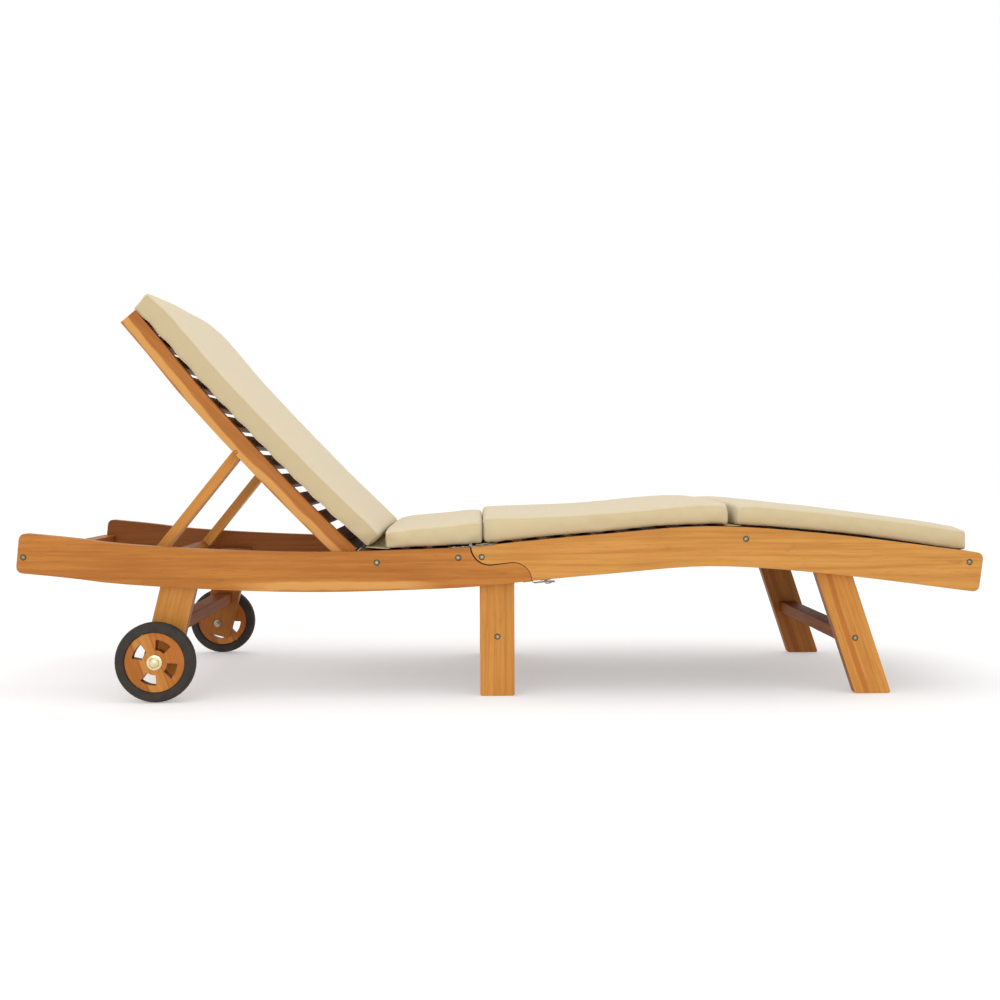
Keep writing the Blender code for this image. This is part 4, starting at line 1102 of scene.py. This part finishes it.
def strip(name, ends, body, other):
    """A band of cloth across the lounger between two lines, with a slight sag and rumpled edges."""
    (x0, z0), (x1, z1) = ends
    nx, ny = WEB_CELLS
    work = bmesh.new()
    rows = []
    for i in range(nx + 1):
        share = i / nx
        row = []
        for j in range(ny + 1):
            y = WEB_HALF * (2 * j / ny - 1)
            rumple = noise.noise(Vector((share, y, x0)) * Vector(RUMPLE_PITCH))
            x = x0 + (x1 - x0) * share
            z = z0 + (z1 - z0) * share - WEB_AIR - 0.5 * WEB_THICK
            z += (WEB_RUMPLE * rumple - WEB_SAG) * math.sin(math.pi * share)
            row.append(work.verts.new((x, y, z)))
        rows.append(row)
    for low, high in zip(rows, rows[1:]):
        for j in range(ny):
            work.faces.new((low[j], high[j], high[j + 1], low[j + 1]))
    band = link(name, finished_mesh(name, work))
    thick = band.modifiers.new("thickness", "SOLIDIFY")
    thick.thickness = WEB_THICK
    thick.offset = 0.0
    solid = evaluated(band)
    band.modifiers.clear()
    band.data = solid
    solid.materials.clear()
    solid.materials.append(tape())
    solid.shade_smooth()
    if body == other:
        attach(band, body)
    else:
        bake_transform(band)


# ---- lap lines, hinge screws and latch grips ---------------------------------------------------
LAP_ARCS = ((-0.0275, 0.3165, 0.040), (0.0200, 0.2425, 0.039))  # centre x and z, and radius
LAP_REACH = 0.001
LAP_WIRE = 0.0007
LAP_TOP = 5.2  # width of the line at its upper and its lower end, in wires
LAP_FOOT = 1.0
LAP_SUNK = 0.75
LAP_SHIFT = 0.0004
ON_FACE = 1e-5
HINGE_SCREWS = (0.008, 0.026)  # from the leaf's far end
# the folded grip under each latch lever, as (x, z) from the lever's pin
GRIP = ((-0.0028, -0.0006), (-0.0014, -0.0026), (0.0004, -0.0050), (0.0060, -0.0050), (0.0150, -0.0014),
        (0.0185, -0.0022), (0.0185, -0.0010), (0.0150, 0.0002), (0.0060, -0.0032), (0.0010, -0.0034))
GRIP_HALF = 0.0040


def on_lap(spot):
    """Whether a corner of the rail's outline lies on the S where the two halves meet."""
    return any(abs(math.hypot(spot.x - x, spot.z - z) - radius) < LAP_REACH for x, z, radius in LAP_ARCS)


def lap_lines(shade):
    """A dark line of painted shade in the gap where the two halves of a side rail meet."""
    for side, sign in SIDES:
        face_y = sign * RAIL_FACE
        spots = {}
        for vertex in NODES["head_rail_" + side].data.vertices:
            if abs(vertex.co.y - face_y) < ON_FACE and on_lap(vertex.co):
                spots[(round(vertex.co.x, 5), round(vertex.co.z, 5))] = vertex.co.copy()
        line = sorted(spots.values(), key=lambda spot: spot.x - spot.z)
        curve = bpy.data.curves.new("lap_line_" + side, "CURVE")
        curve.dimensions = "3D"
        curve.bevel_depth = LAP_WIRE
        curve.bevel_resolution = 1
        thread = curve.splines.new("POLY")
        thread.points.add(len(line) - 1)
        for point, spot in zip(thread.points, line):
            share = (spot.x - line[0].x) / (line[-1].x - line[0].x)
            point.radius = LAP_TOP - (LAP_TOP - LAP_FOOT) * share
            y = face_y - sign * LAP_WIRE * point.radius * LAP_SUNK
            point.co = (spot.x + LAP_SHIFT, y, spot.z, 1.0)
        made = link("lap_line_" + side, curve)
        curve.materials.append(shade)
        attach(made, "head_frame")


def hinge_screws(zinc):
    """Two countersunk screws in each leaf of the fold hinges, on top of the rails."""
    middle = sum(corner[1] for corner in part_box("fold_hinge_head_leaf_left")) / 2
    for side, sign in SIDES:
        for leaf, body, end, way in (("head", "head_frame", 0, 1.0), ("foot", "foot_frame", 1, -1.0)):
            node = "fold_hinge_" + leaf + "_leaf_" + side
            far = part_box(node)[end][0]
            tree = node_tree(node)
            for number, reach in enumerate(HINGE_SCREWS):
                above = Vector((far + way * reach, sign * middle, 1.0))
                spot, normal, *_ = tree.ray_cast(above, Vector((0.0, 0.0, -1.0)))
                name = "hinge_screw_" + leaf + "_" + str(number) + "_" + side
                dome_head(name, spot, normal if normal.z > 0 else -normal, body, zinc)


def grips(zinc):
    for side, _ in SIDES:
        pin = Vector(JOINTS["latch_lever_" + side]["pos_m"])
        work = bmesh.new()
        near, far = ([work.verts.new((pin.x + x, pin.y + across, pin.z + z)) for x, z in GRIP]
                     for across in (-GRIP_HALF, GRIP_HALF))
        work.faces.new(near)
        work.faces.new(far[::-1])
        for index in range(len(GRIP)):
            after = (index + 1) % len(GRIP)
            work.faces.new((near[after], near[index], far[index], far[after]))
        bmesh.ops.recalc_face_normals(work, faces=work.faces)
        piece("latch_grip_" + side, finished_mesh("grip", work), "lever_" + side, zinc)


def build():
    camera()
    studio()
    timber()
    zinc = plated("zinc", rgb(188, 184, 170), rgb(140, 134, 118))
    yellow = plated("yellow_zinc", rgb(234, 224, 184), rgb(218, 202, 150), (0.16, 0.20))
    rim_shade = grime("counterbore_shade", rgb(46, 24, 12), rgb(74, 42, 22))
    tyre = rubber()
    for node in NODES:
        if node.startswith(("fold_hinge", "latch", "back_hinge", "prop_pin")):
            finish_node(node, zinc)
        elif node.startswith("axle_bolt"):
            finish_node(node, yellow)
        elif node.startswith("tyre"):
            finish_node(node, tyre)
    cushions()
    # bright zinc for the socket as a painted highlight, a darker zinc for the ring, painted shade for the
    # counterbore's rim
    bolts((zinc, plated("darker_ring_zinc", rgb(136, 132, 112), rgb(92, 88, 72)), rim_shade))
    axles(zinc)
    plugs()
    # painted shade in the gaps where the rail halves meet
    lap_lines(grime("lap_gap", rgb(26, 12, 7), rgb(48, 24, 13)))
    hinge_screws(zinc)
    grips(zinc)
    webs()


build()
